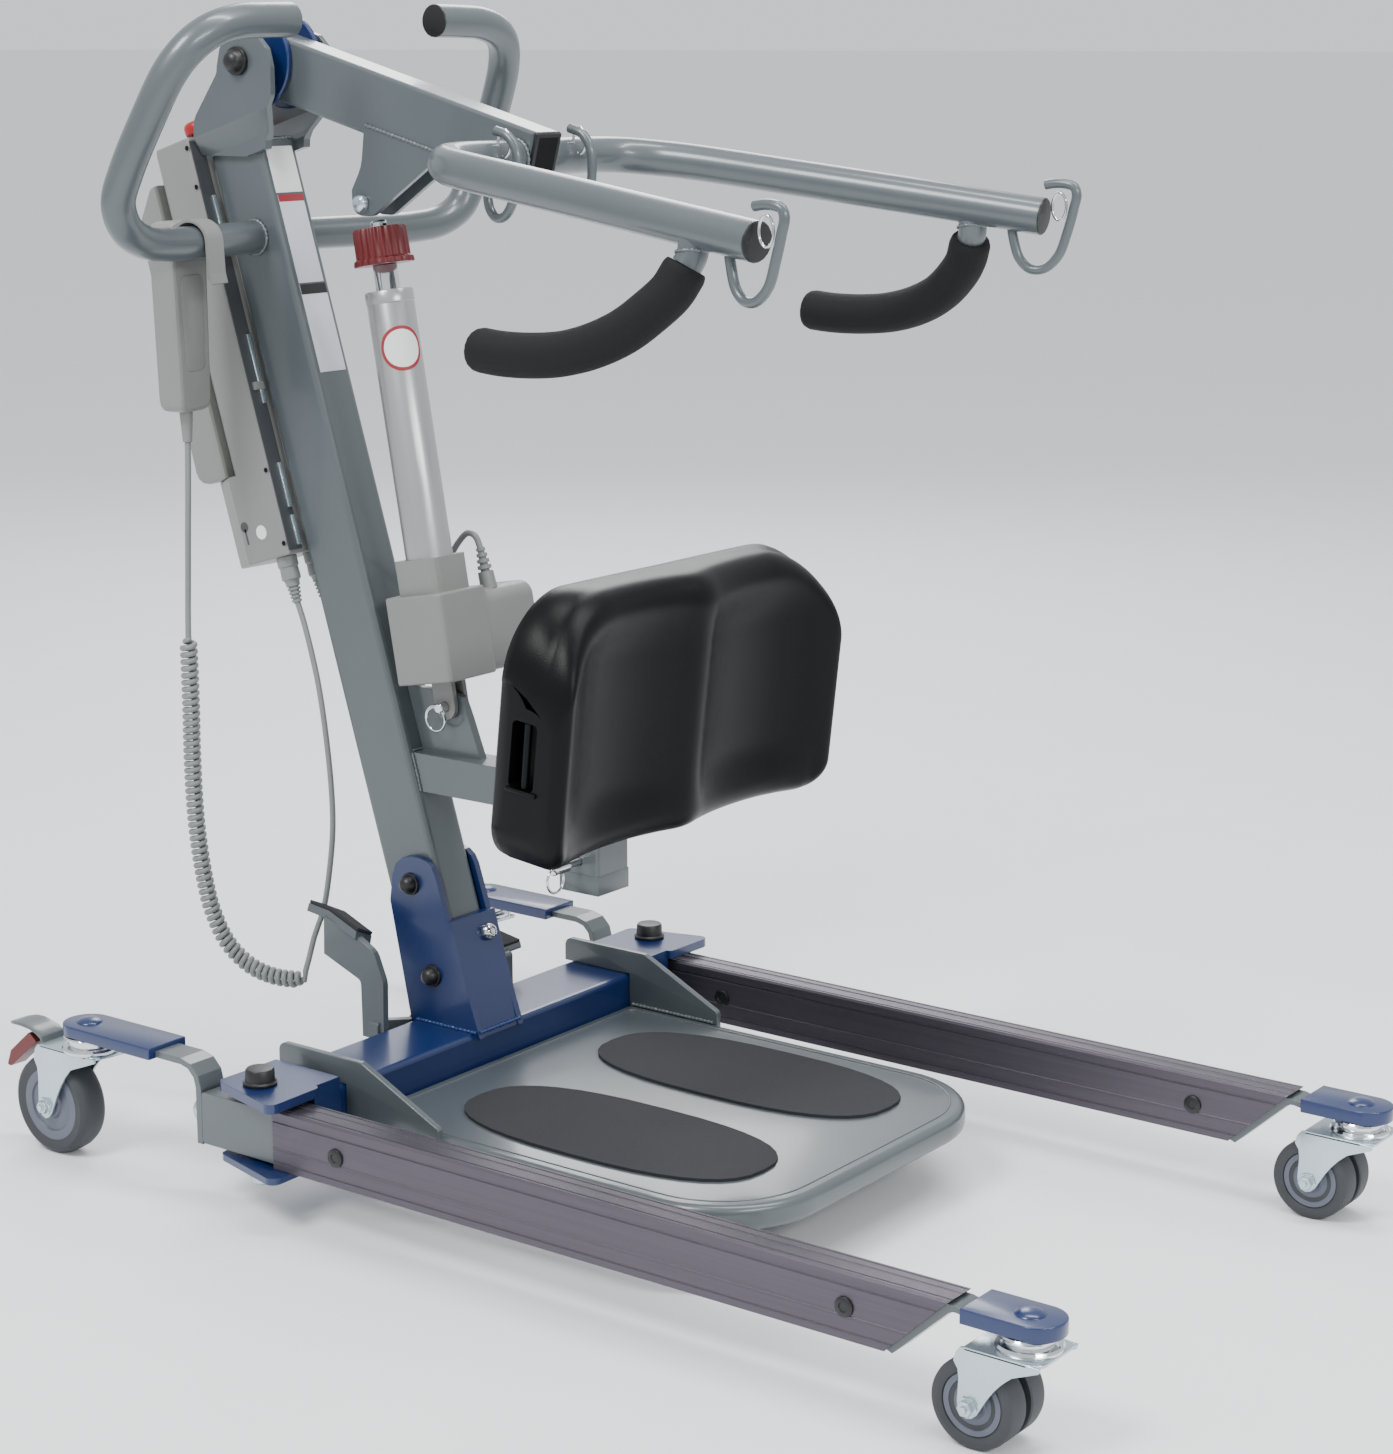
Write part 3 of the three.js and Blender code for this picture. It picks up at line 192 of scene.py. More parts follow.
def mesh_piece(name, points, faces, mat, body, stands_for=None, sharp=38.0, bevel=0.0):
    mesh = bpy.data.meshes.new(name)
    mesh.from_pydata([tuple(p) for p in points], [], faces)
    work = bmesh.new()
    work.from_mesh(mesh)
    bmesh.ops.remove_doubles(work, verts=work.verts, dist=1e-7)
    bmesh.ops.recalc_face_normals(work, faces=work.faces)
    if bevel > 0:
        least = math.radians(30)
        edges = [e for e in work.edges if len(e.link_faces) == 2 and e.calc_face_angle(0) > least]
        bmesh.ops.bevel(work, geom=edges, offset=bevel / 1000, segments=3, affect="EDGES", profile=0.5)
    work.to_mesh(mesh)
    work.free()
    for polygon in mesh.polygons:
        polygon.use_smooth = True
    mesh.set_sharp_from_angle(angle=math.radians(sharp))
    obj = bpy.data.objects.new(name, mesh)
    bpy.context.collection.objects.link(obj)
    return finished(obj, mat, body, stands_for)


def mirrored(profile):
    """A turned profile facing the other way along its axis."""
    return [(r, -h) for r, h in reversed(profile)]


def lathe(name, profile, mat, body, centre=(0, 0, 0), axis="Z", where=HERE, stands_for=None, sides=48,
          flutes=0, flute=0.0, sharp=38.0):
    """Closed turned piece: profile points are (radius, distance along the axis)."""
    along = {"X": Vector((1, 0, 0)), "Y": Vector((0, 1, 0)), "Z": Vector((0, 0, 1))}[axis]
    one = {"X": Vector((0, 1, 0)), "Y": Vector((0, 0, 1)), "Z": Vector((1, 0, 0))}[axis]
    two = along.cross(one)
    points = []
    faces = []
    for radius, height in profile:
        for i in range(sides):
            angle = 2 * math.pi * i / sides
            r = radius
            if flutes and radius > 20:
                r += flute * math.cos(flutes * angle)
            spot = Vector(centre) + along * height + (one * math.cos(angle) + two * math.sin(angle)) * r
            points.append(place(spot, where))
    loop = profile[0] == profile[-1]
    for k in range(len(profile) - 1):
        for i in range(sides):
            j = (i + 1) % sides
            faces.append((k * sides + i, k * sides + j, (k + 1) * sides + j, (k + 1) * sides + i))
    if not loop:
        faces.append(tuple(range(sides)))
        faces.append(tuple((len(profile) - 1) * sides + i for i in range(sides)))
    return mesh_piece(name, points, faces, mat, body, stands_for, sharp)


def bar(name, spots, radius, mat, body, where=HERE, stands_for=None, closed=False, swell=lambda n: 1.0):
    """A round bar through the given points."""
    data = bpy.data.curves.new(name, "CURVE")
    data.dimensions = "3D"
    data.bevel_depth = radius / 1000
    data.bevel_resolution = 7 if radius > 8 else 3
    data.use_fill_caps = True
    spline = data.splines.new("POLY")
    spline.points.add(len(spots) - 1)
    for n, (point, spot) in enumerate(zip(spline.points, spots)):
        point.co = (*place(spot, where), 1.0)
        point.radius = swell(n)
    spline.use_cyclic_u = closed
    spline.use_smooth = True
    line = bpy.data.objects.new(name, data)
    bpy.context.collection.objects.link(line)
    mesh = bpy.data.meshes.new_from_object(line.evaluated_get(bpy.context.evaluated_depsgraph_get()))
    bpy.data.objects.remove(line, do_unlink=True)
    mesh.set_sharp_from_angle(angle=math.radians(50))
    mesh.materials.clear()
    obj = bpy.data.objects.new(name, mesh)
    bpy.context.collection.objects.link(obj)
    return finished(obj, mat, body, stands_for)


def wire(name, points, radius, mat, body, where=HERE, stands_for=None, closed=False, step=5.0):
    """A round bar along a smooth curve."""
    route = smooth_route(points, step) if len(points) > 2 else [Vector(p) for p in points]
    return bar(name, route, radius, mat, body, where, stands_for, closed)


def ring(name, centre, radius, thick, axis, mat, body, where=HERE, stands_for=None, stretch=1.0):
    spots = []
    for i in range(36):
        c, s = math.cos(math.pi * i / 18) * radius, math.sin(math.pi * i / 18) * radius * stretch
        offset = {"X": (0, c, s), "Y": (c, 0, s), "Z": (c, s, 0)}[axis]
        spots.append(Vector(centre) + Vector(offset))
    return bar(name, spots, thick, mat, body, where, stands_for, True)


def prism(name, outline, low, high, mat, body, axis="X", where=HERE, stands_for=None, bevel=0.0):
    """An outline pushed along an axis; outline points are the other two axes in order."""
    order = {"X": lambda a, b, h: (h, a, b), "Y": lambda a, b, h: (a, h, b), "Z": lambda a, b,
             h: (a, b, h)}[axis]
    count = len(outline)
    points = [place(order(a, b, h), where) for h in (low, high) for a, b in outline]
    faces = [tuple(range(count)), tuple(range(count, 2 * count))]
    for i in range(count):
        j = (i + 1) % count
        faces.append((i, j, count + j, count + i))
    return mesh_piece(name, points, faces, mat, body, stands_for, 34.0, bevel)


def block(name, x, y, z, mat, body, where=HERE, bevel=0.0, stands_for=None):
    outline = [(x[0], y[0]), (x[1], y[0]), (x[1], y[1]), (x[0], y[1])]
    return prism(name, outline, z[0], z[1], mat, body, "Z", where, stands_for, bevel)


def rounded(points, steps=7):
    """Outline with each corner (a, b, radius) turned into an arc."""
    out = []
    count = len(points)
    for i, (a, b, r) in enumerate(points):
        here = Vector((a, b))
        before = (Vector(points[i - 1][:2]) - here).normalized()
        after = (Vector(points[(i + 1) % count][:2]) - here).normalized()
        if r <= 0:
            out.append(tuple(here))
            continue
        half = math.acos(max(-1, min(1, before.dot(after)))) / 2
        centre = here + (before + after).normalized() * (r / math.sin(half))
        first = here + before * (r / math.tan(half)) - centre
        last = here + after * (r / math.tan(half)) - centre
        start = math.atan2(first.y, first.x)
        sweep = (math.atan2(last.y, last.x) - start + math.pi) % (2 * math.pi) - math.pi
        for k in range(steps + 1):
            angle = start + sweep * k / steps
            out.append((centre.x + r * math.cos(angle), centre.y + r * math.sin(angle)))
    return out


def bead(name, points, radius, mat, body, where=HERE):
    """A weld bead: a bar whose thickness ripples along its length."""
    return bar(name, smooth_route(points, 1.6), radius, mat, body, where, None, False,
               lambda n: 0.82 + 0.22 * math.sin(n * 2.1) + 0.08 * math.sin(n * 0.7))


# ---- camera ----
lens = bpy.data.cameras.new("camera")
lens.lens = 75.396
lens.sensor_width = 36.0
lens.clip_end = 2000.0
camera = bpy.data.objects.new("camera", lens)
camera.location = (-2.18333, -1.67981, 1.05941)
camera.rotation_euler = (math.radians(77.3112), 0.0, math.radians(-53.2851))
bpy.context.collection.objects.link(camera)
bpy.context.scene.camera = camera

# ---- the handset's curly cord: straight, coil, straight, one fixed length ----
CORD_UPPER = [
    (-116.6, 248.2, 679.6), (-116.6, 248.6, 665), (-116.3, 250.5, 630), (-115.3, 254, 585),
    (-113.6, 258, 540), (-112, 261.5, 505), (-111.4, 262.8, 485),
]
CORD_COIL = [
    (-111.4, 262.9, 484.5), (-110.5, 263.5, 420), (-108.5, 266.5, 358), (-107, 266, 297), (-104, 262, 245),
    (-99, 256, 203), (-91, 243.4, 168), (-82, 222.2, 146), (-74, 195.2, 137), (-62, 165.1, 135.5),
]
CORD_LOWER = [
    (-61, 164.5, 145.6), (-56, 164, 158), (-49, 163, 178), (-39, 158.5, 206), (-34.5, 152.5, 250),
    (-33, 148.5, 291), (-32.5, 149.5, 331), (-32, 155, 381), (-31.5, 163.5, 431), (-31, 174, 470),
    (-30.3, 184.5, 500), (-30, 191.2, 515.3),
]
COIL_PITCH = 7.0
COIL_RADIUS = 6.2
CORD_RADIUS = 3.0
CORD_STEP = 10.0  # between points where the cord is straight
CORD_GAP = 1.2  # the least distance between two points


def helix(centre_line, pitch, radius, per_turn=14):
    line = smooth_route(centre_line, 1.5)
    lengths = [0.0]
    for a, b in zip(line, line[1:]):
        lengths.append(lengths[-1] + (b - a).length)
    total = lengths[-1]
    side = Vector((1, 0, 0))
    out = []
    count = int(total / pitch * per_turn)
    k = 0
    for i in range(count + 1):
        s = total * i / count
        while k < len(line) - 2 and lengths[k + 1] < s:
            k += 1
        along = (line[k + 1] - line[k]).normalized()
        spot = line[k] + (line[k + 1] - line[k]) * ((s - lengths[k]) / max(lengths[k + 1] - lengths[k], 1e-9))
        side = (side - along * side.dot(along)).normalized()
        other = along.cross(side)
        grow = min(1.0, s / 9.0, (total - s) / 9.0)
        grow = grow * grow * (3 - 2 * grow)
        angle = 2 * math.pi * s / pitch
        out.append(spot + (side * math.cos(angle) + other * math.sin(angle)) * radius * grow)
    return out


cord_line = []
curly = helix(CORD_COIL, COIL_PITCH, COIL_RADIUS)
for spot in smooth_route(CORD_UPPER, CORD_STEP) + curly + smooth_route(CORD_LOWER, CORD_STEP):
    if not cord_line or (spot - cord_line[-1]).length > CORD_GAP:
        cord_line.append(spot)
handset_cord = bar("handset_cord", cord_line, CORD_RADIUS, CABLE, "frame", HERE,
                   ["handset_cord_upper", "handset_cord_coil", "handset_cord_lower"])


def ribbed_plug(name, x, v, stands_for):
    profile = [(0, 613.7), (10.4, 613.7), (10.4, 604), (9.2, 602.5), (9.6, 596), (9.6, 591), (7.6, 589)]
    for i in range(5):
        low = 586 - i * 4.0
        wide = 7.0 - i * 0.5
        profile += [(wide, low), (wide, low - 2.2), (wide - 1.8, low - 2.6), (wide - 1.8, low - 3.8)]
    profile += [(4.5, 568.4), (0, 568.2)]
    return lathe(name, profile, CABLE, "frame", (x, 70 + v, 0), "Z", MAST, stands_for, 32)


plug = ribbed_plug("handset_plug_ribbed", -30, 24, "handset_plug")
ribbed_plug("actuator_plug_ribbed", 8, 24, "actuator_plug")

# ---- knee pad: moulded, two scooped channels between a centre ridge and two outer ridges ----
PAD_HALF_WIDTH = 214.0
PAD_HALF_HEIGHT = 121.5
CREST = [(0, 66), (9, 64.5), (28, 56), (60, 47.5), (95, 44.5), (130, 47.5), (160, 57), (184, 69),
         (200, 76.5), (207, 77.2), (214, 73)]


def crest_depth(x):
    x = abs(x)
    for (x0, d0), (x1, d1) in zip(CREST, CREST[1:]):
        if x <= x1:
            t = (x - x0) / (x1 - x0)
            i = CREST.index((x0, d0))
            before = CREST[i - 1] if i else (-CREST[1][0], CREST[1][1])
            after = CREST[i + 2] if i + 2 < len(CREST) else (x1 + 5, d1 - 3)
            m0 = (d1 - before[1]) / (x1 - before[0]) * (x1 - x0)
            m1 = (after[1] - d0) / (after[0] - x0) * (x1 - x0)
            return ((2 * t**3 - 3 * t**2 + 1) * d0 + (t**3 - 2 * t**2 + t) * m0
                    + (-2 * t**3 + 3 * t**2) * d1 + (t**3 - t**2) * m1)
    return CREST[-1][1]


def edge_drop(distance, radius):
    if distance >= radius:
        return 0.0
    inside = radius - max(distance, 0.0)
    return radius - math.sqrt(max(0.0, radius * radius - inside * inside))


def pad_limits(x, half_width, half_height, low_radius, high_radius):
    x = abs(x)
    over_low = max(0.0, x - (half_width - low_radius))
    over_high = max(0.0, x - (half_width - high_radius))
    low = -half_height + low_radius - math.sqrt(max(0.0, low_radius**2 - over_low**2))
    high = half_height - high_radius + math.sqrt(max(0.0, high_radius**2 - over_high**2))
    return low, high


def ease(t):
    t = max(0.0, min(1.0, t))
    return t * t * (3 - 2 * t)


def front_depth(x, z, low, high):
    """The channels are shallower towards the bottom edge and end in a soft shelf at the top."""
    crest = crest_depth(x)
    fill = 0.5 * ease((-62 - z) / 56) + 0.5 * ease((z - 58) / 56)
    crest += max(0.0, 71 - crest) * fill
    drop = edge_drop(high - z, 30) + edge_drop(z - low, 21) + edge_drop(PAD_HALF_WIDTH - abs(x), 9)
    return max(12.0, crest - drop)


def make_pad():
    columns, rows = 96, 56
    spacing = [math.sin(math.pi / 2 * (2 * i / columns - 1)) for i in range(columns + 1)]
    climbs = [0.5 - 0.5 * math.cos(math.pi * j / rows) for j in range(rows + 1)]

    def sheet_points(depth_at, inset, top_radius):
        out = []
        for u in spacing:
            x = u * (PAD_HALF_WIDTH - inset)
            low, high = pad_limits(x, PAD_HALF_WIDTH - inset, PAD_HALF_HEIGHT - inset, 34 - inset,
                                   top_radius - inset)
            for t in climbs:
                z = low + (high - low) * t
                out.append((x, -depth_at(x, z, low, high), z))
        return out

    front = sheet_points(front_depth, 0.0, 94)
    wall = sheet_points(lambda x, z, low, high: 0.5, 0.0, 76)
    back = sheet_points(lambda x, z, low, high: 0.5, 5.0, 76)
    stride = rows + 1
    faces = []
    offset = len(front)
    for i in range(columns):
        for j in range(rows):
            a, b, c, d = i * stride + j, (i + 1) * stride + j, (i + 1) * stride + j + 1, i * stride + j + 1
            faces.append((a, b, c, d))
            faces.append((offset + d, offset + c, offset + b, offset + a))
    loop = [i * stride for i in range(columns + 1)]
    loop += [columns * stride + j for j in range(1, rows + 1)]
    loop += [i * stride + rows for i in range(columns - 1, -1, -1)]
    loop += [j for j in range(rows - 1, 0, -1)]
    rings = [loop]
    points = list(front) + list(back)
    for share, spread, tuck in ((0.12, 0.3, 0), (0.3, 0.66, 0), (0.5, 0.9, 0), (0.75, 1, 0),
                                (0.93, 1, 0.3)):
        ring_ids = []
        for k in loop:
            side = Vector((front[k][0], front[k][2])).lerp(Vector((wall[k][0], wall[k][2])), spread)
            side = side.lerp(Vector((back[k][0], back[k][2])), tuck)
            ring_ids.append(len(points))
            points.append((side.x, front[k][1] + (back[k][1] - front[k][1]) * share, side.y))
        rings.append(ring_ids)
    rings.append([offset + k for k in loop])
    for one, two in zip(rings, rings[1:]):
        for n in range(len(loop)):
            m = (n + 1) % len(loop)
            faces.append((one[n], one[m], two[m], two[n]))
    return mesh_piece("knee_pad_moulded", [place(p, PAD) for p in points], faces, SKIN, "knee", "knee_pad",
                      60.0)


knee_pad = make_pad()
for word, side in SIDES:
    x_out, x_in = side * 232, side * 197
    tool = prism(f"slot_tool_{word}", rounded([(-48, -46, 5), (-20, -46, 5), (-20, 15, 5), (-48, 15, 5)]),
                 min(x_out, x_in), max(x_out, x_in), SKIN, "knee", "X", PAD)
    cut = knee_pad.modifiers.new("slot", "BOOLEAN")
    cut.operation = "DIFFERENCE"
    cut.solver = "MANIFOLD"
    cut.object = tool
    bpy.context.view_layer.objects.active = knee_pad
    bpy.context.view_layer.update()
    baked = bpy.data.meshes.new_from_object(knee_pad.evaluated_get(bpy.context.evaluated_depsgraph_get()))
    baked.set_sharp_from_angle(angle=math.radians(50))
    knee_pad.modifiers.clear()
    knee_pad.data = baked
    bpy.data.objects.remove(tool, do_unlink=True)
    wire(f"pad_slot_bar_{word}", [(side * 209, -35, -45), (side * 210, -35, 14)], 3.6, SKIN, "knee", PAD)
    block(f"pad_slot_lip_{word}", sorted((side * 198, side * 216.5)), (-52, -18), (-50, -46), SKIN, "knee",
          PAD, 1.2)

# ---- push handles, arms, hooks and grips ----
PUSH_ROUTE = [
    (25.6, 239, 872.5), (70, 229, 872.8), (120, 217, 873.2), (172, 209, 874), (208, 203, 879),
    (233, 198, 893), (245, 193, 916), (246, 180, 944), (240, 156, 991), (230, 134, 1034), (215, 121, 1057),
    (195, 114, 1070), (166, 111, 1077), (135, 110.5, 1078.5), (100, 111, 1079),
]
ARM_ROUTE = [
    (18, -88, 955.5), (60, -88, 955.5), (95, -90, 955.5), (124, -99, 954.5), (144, -121, 952),
    (157, -157, 948.5), (178, -270, 935), (200, -388, 920.5), (221, -505, 906),
]
FRONT_HOOK = [
    (216, -474, 904), (216.6, -477, 886), (218, -483, 868), (220, -493, 859), (222.5, -506, 859.5),
    (224.5, -519, 871), (226, -527, 892), (226.5, -533, 914), (226.5, -535.5, 926), (226.3, -533, 932.5),
    (226, -526, 935), (225, -515, 935.5), (224, -505, 934),
]
REAR_HOOK = [
    (50, -84, 943), (51, -83, 925), (52, -87, 910), (53, -96, 903), (54, -107, 906), (54, -117, 922),
    (53.5, -121, 944), (53, -119, 964), (53, -110, 976), (53, -95, 981),
]
GRIP_ROUTE = [
    (216, -432.4, 883.5), (219, -428.7, 874.7), (223.5, -422.5, 863), (231, -408, 848), (238, -386, 831),
    (243, -358, 818), (245, -328, 810), (245.5, -296, 806.5), (245, -262, 806), (244, -235, 808),
]


def facing(points, side):
    return [(x * side, y, z) for x, y, z in points]


def end_disc(name, tip, before, radius, thick, mat, body):
    """A plug that closes a tube's end, slightly domed."""
    tip, before = Vector(tip), Vector(before)
    along = (tip - before).normalized()
    where = Matrix.Translation(tip) @ along.to_track_quat("Z", "Y").to_matrix().to_4x4()
    profile = [(0, -thick), (radius * 0.9, -thick), (radius, 0.1), (radius - 0.6, 1.1), (radius * 0.6, 1.5),
               (0, 1.7)]
    return lathe(name, profile, mat, body, (0, 0, 0), "Z", where, None, 40)


def grip_taper(last):
    """The foam's radius as a share, rounded off over the last three points at either end."""
    def share(n):
        edge = min(n, last - n)
        return (0.9, 0.955, 0.985)[edge] if edge < 3 else 1.0
    return share



for word, side in SIDES:
    wire(f"push_handle_tube_{word}", facing(PUSH_ROUTE, side), 16, GREY, "frame", HERE,
         f"push_handle_{word}")
    route = facing(PUSH_ROUTE, side)
    end_disc(f"push_handle_plug_{word}", route[-1], route[-2], 15.6, 6, BLACK, "frame")
    seam = []
    for i in range(25):
        angle = math.pi * i / 12
        seam.append((side * 26.6, 238.8 + 16.6 * math.cos(angle), 872.5 + 16.6 * math.sin(angle)))
    bead(f"push_handle_weld_{word}", seam, 2.1, WELD, "frame")

    wire(f"arm_tube_{word}", facing(ARM_ROUTE, side), 17, GREY, "boom", HERE, f"arm_{word}")
    wire(f"arm_front_hook_{word}", facing(FRONT_HOOK, side), 4.5, GREY, "boom", HERE, None, False, 3)
    wire(f"arm_rear_hook_{word}", facing(REAR_HOOK, side), 4.5, GREY, "boom", HERE, None, False, 3)
    wire(f"arm_stub_{word}", facing([(210, -437, 910), (213.3, -435.7, 891.4), (215.8, -432.8, 884)], side),
         13, GREY, "boom", HERE, None, False, 3)
    route = facing(ARM_ROUTE, side)
    end_disc(f"arm_plug_{word}", route[-1], route[-2], 16.4, 6, BLACK, "boom")
    seam = []
    for i in range(25):
        angle = math.pi * i / 12
        seam.append((side * 19.2, -88 + 17.4 * math.cos(angle), 955.5 + 17.4 * math.sin(angle)))
    bead(f"arm_weld_{word}", seam, 2.0, WELD, "boom")
    seam = []
    for i in range(21):
        angle = 2 * math.pi * i / 20
        seam.append((side * (212.2 + 0.5 * math.sin(angle)) + 12.9 * math.cos(angle),
                     -435.8 + 12.9 * math.sin(angle),
                     894.6 + 2.6 * abs(math.cos(angle)) - 1.5 * math.sin(angle)))
    bead(f"stub_weld_{word}", seam, 1.7, WELD, "boom")
    for hook, top in (("front", (226.4, -527, 928)), ("rear", (54, -115, 983))):
        centre = (side * top[0], top[1] + 9, top[2] - 13)
        ring(f"sling_clip_{hook}_{word}", centre, 7.2, 1.3, "X", CHROME, "boom", stretch=1.7)

    route = smooth_route(facing(GRIP_ROUTE, side), 2.0)
    bar(f"grip_foam_{word}", route, 19, FOAM, "boom", HERE, f"grip_{word}", False,
        grip_taper(len(route) - 1))

# ---- boom: hub discs, pivot cap, end cap, gusset welds, rod pin ----
half = [
    (8.4, -38.6), (17, -38.6), (18, -37.6), (18, -24.5), (19.5, -23.5), (44.6, -23.5), (46, -22.2), (46, -19),
    (44.8, -17.8), (12, -17.8),
]
hub = half + mirrored(half) + half[:1]
lathe("hub_discs", hub, BLUE, "boom", (0, 235, 1041), "X", HERE, "pivot_hub", 72)
dome = [(0, -60), (4, -59.7), (7, -58.5), (9.4, -56), (10.6, -53), (11, -50.5), (11.3, -49.8),
        (13.4, -49.4), (13.8, -48.6), (13.8, -46.3), (13.2, -45.5), (7.9, -45.5)]
lathe("boom_pivot_cap", dome + mirrored(dome), BLACK, "frame", (0, 235, 1041), "X",
      HERE, "boom_pivot_bolt", 40)
cap = [(-352.2, -30), (-354.6, -28.4), (-354.6, 28.4), (-352.2, 30), (-351.3, 30), (-351.3, -30)]
prism("boom_end_plug", [(a, b) for a, b in cap], -17.5, 17.5, BLACK, "boom", "X", BOOM, "boom_end_cap", 0.7)
# a dark plate on the end cap's face: painted shade for its inset
block("boom_end_inset", (-13.5, 13.5), (-354.7, -353), (-25.5, 25.5), HOLE_SHADE, "boom", BOOM)
for word, side in SIDES:
    seam = [(side * 17.9, 96, 982.3), (side * 18.1, 52, 971), (side * 17.9, 10, 960)]
    bead(f"gusset_weld_{word}", seam, 1.9, WELD, "boom")
lathe("rod_pin_head", [(0, -26), (5, -26), (7, -24.6), (8, -23), (8, -18.2), (4, -17.8), (4, 17.8),
                       (8, 18.2), (8, 23), (7, 24.6), (0, 24.8)], ZINC, "boom", (0, 102, 909), "X", HERE,
                       "actuator_rod_pin", 40)

# ---- actuator: tube, rod, knob, sticker, housing trim and lead ----
lathe("actuator_barrel", [(0, 114.4), (23, 114.4), (23, 402.2), (22.2, 403.6), (20.4, 404), (13, 404),
                          (12.6, 403), (12.6, 130), (0, 130)], SATIN, "actuator", (0, 0, 0), "Z", ACTUATOR,
                          "actuator_tube", 64)
lathe("actuator_barrel_cap", [(22.9, 392), (23.5, 392.6), (23.5, 403), (22.4, 404.6), (13, 404.6),
                              (12.8, 403.8), (22.9, 403.4),
                              (22.9, 392)], SATIN, "actuator", (0, 0, 0), "Z", ACTUATOR, None, 64)
lathe("actuator_piston", [(0, 200), (12, 200), (12, 428), (8, 436), (8, 469.6), (6.4, 471.4), (0, 471.4)],
      CHROME, "rod", (0, 0, 0), "Z", ACTUATOR, "actuator_rod", 48)
lathe("release_knob_drum", [(12.8, 429.4), (28.3, 429.4), (28.6, 431), (28.0, 434.6), (25.6, 436.4),
                            (25.4, 462), (24, 464.6), (20, 465), (8.8, 465), (8.8, 437),
                            (12.8, 429.4)], RED, "knob",
                            (0, 0, 0), "Z", ACTUATOR, "release_knob", 192, 24, 0.75)
# a dark plate on the rod end: painted shade for the slot, which is not cut
block("rod_end_slot_face", (-2.2, 2.2), (-8.3, -7.4), (441, 468), HOLE_SHADE, "rod", ACTUATOR)


def curved_disc(name, radius, around, high, mat, body, where, toward):
    """A round sticker that follows a cylinder of the given radius."""
    points, faces = [], []
    sides = 40
    for shell in (0.0, 0.35):
        r = around + shell
        points.append(place((r * math.sin(toward), -r * math.cos(toward), high), where))
        for k in (0.25, 0.5, 0.75, 1.0):
            for i in range(sides):
                a = 2 * math.pi * i / sides
                swing = toward + radius * k * math.cos(a) / around
                spot = (r * math.sin(swing), -r * math.cos(swing), high + radius * k * math.sin(a))
                points.append(place(spot, where))
    span = 1 + 4 * sides
    for base in (0, span):
        for i in range(sides):
            j = (i + 1) % sides
            faces.append((base, base + 1 + i, base + 1 + j))
            for k in range(3):
                low, high = base + 1 + k * sides, base + 1 + (k + 1) * sides
                faces.append((low + i, high + i, high + j, low + j))
    rim = 1 + 3 * sides
    for i in range(sides):
        j = (i + 1) % sides
        faces.append((rim + i, rim + j, span + rim + j, span + rim + i))
    return mesh_piece(name, points, faces, mat, body)


curved_disc("tube_sticker_rim", 21.5, 23.05, 348, MAROON, "actuator", ACTUATOR, -0.62)
curved_disc("tube_sticker_face", 18.2, 23.3, 348, PAPER, "actuator", ACTUATOR, -0.62)
case = rounded([(-36, 27, 10), (31, 27, 10), (31, 108, 15), (-36, 108, 15)])
prism("motor_case", case, 18, 104, PLASTIC, "actuator", "X", ACTUATOR, None, 3)
badge = rounded([(-26, 38, 8), (21, 38, 8), (21, 97, 10), (-26, 97, 10)])
prism("motor_end_badge", badge, 103.4, 104.6, PLASTIC, "actuator", "X", ACTUATOR, None, 0.4)

MOTOR_LEAD = [
    (8, 191.2, 515.3), (8.4, 186, 499), (12, 180, 482), (21, 173, 469), (34, 162, 463), (42, 146, 467),
    (45, 126, 478), (47, 104, 498), (50, 84, 524), (53, 66, 556), (55, 52, 578), (56, 41, 588),
    (56, 31, 586), (56, 24.5, 574),
]
wire("actuator_lead_fine", MOTOR_LEAD, 3.2, CABLE, "frame", HERE, "actuator_lead", False, 4)
relief = [
    (0, 0), (4.6, 0), (4.6, 3), (3.4, 3.4), (3.4, 5.2), (5.4, 5.6), (5.4, 8.8), (3.8, 9.2), (3.8, 11),
    (6.2, 11.4), (6.2, 14.8), (4.2, 15.2), (4.2, 17), (7, 17.4), (7, 21), (4.6, 21.4), (4.6, 23.2), (7.8, 23.6),
    (8.4, 41), (0, 41),
]
into_motor = Vector((0, -8.4, -31)).to_track_quat("Z", "Y").to_matrix().to_4x4()
lathe("actuator_strain_relief", relief, CABLE, "frame", (0, 0, 0), "Z",
      Matrix.Translation((56, 24.8, 575)) @ into_motor, None, 28)

profile = [(0, -21), (4, -21), (5, -20), (5, 13), (7.4, 13), (8, 13.8), (8, 16.4), (7, 17), (0, 17)]
lathe("foot_pin_fine", profile, CHROME, "frame", (0, 16, 428), "X", HERE, "actuator_foot_pin", 36)
ring("foot_pin_ring", (-17.5, 22, 417), 12.5, 1.2, "X", CHROME, "frame")
ring("foot_pin_ring_inner", (-18.6, 21, 416.5), 11.6, 1.0, "X", CHROME, "frame")
lathe("height_pin_fine", [(0, -62), (5, -62), (6, -61), (6, -41), (5, -40), (4, -39.5), (4, -21),
                          (0, -20.6)], CHROME,
      "knee_pin", (0, -160, 304), "X", HERE, "knee_height_pin", 36)
ring("height_pin_ring", (-58, -160, 293), 12, 1.3, "Y", CHROME, "knee_pin")
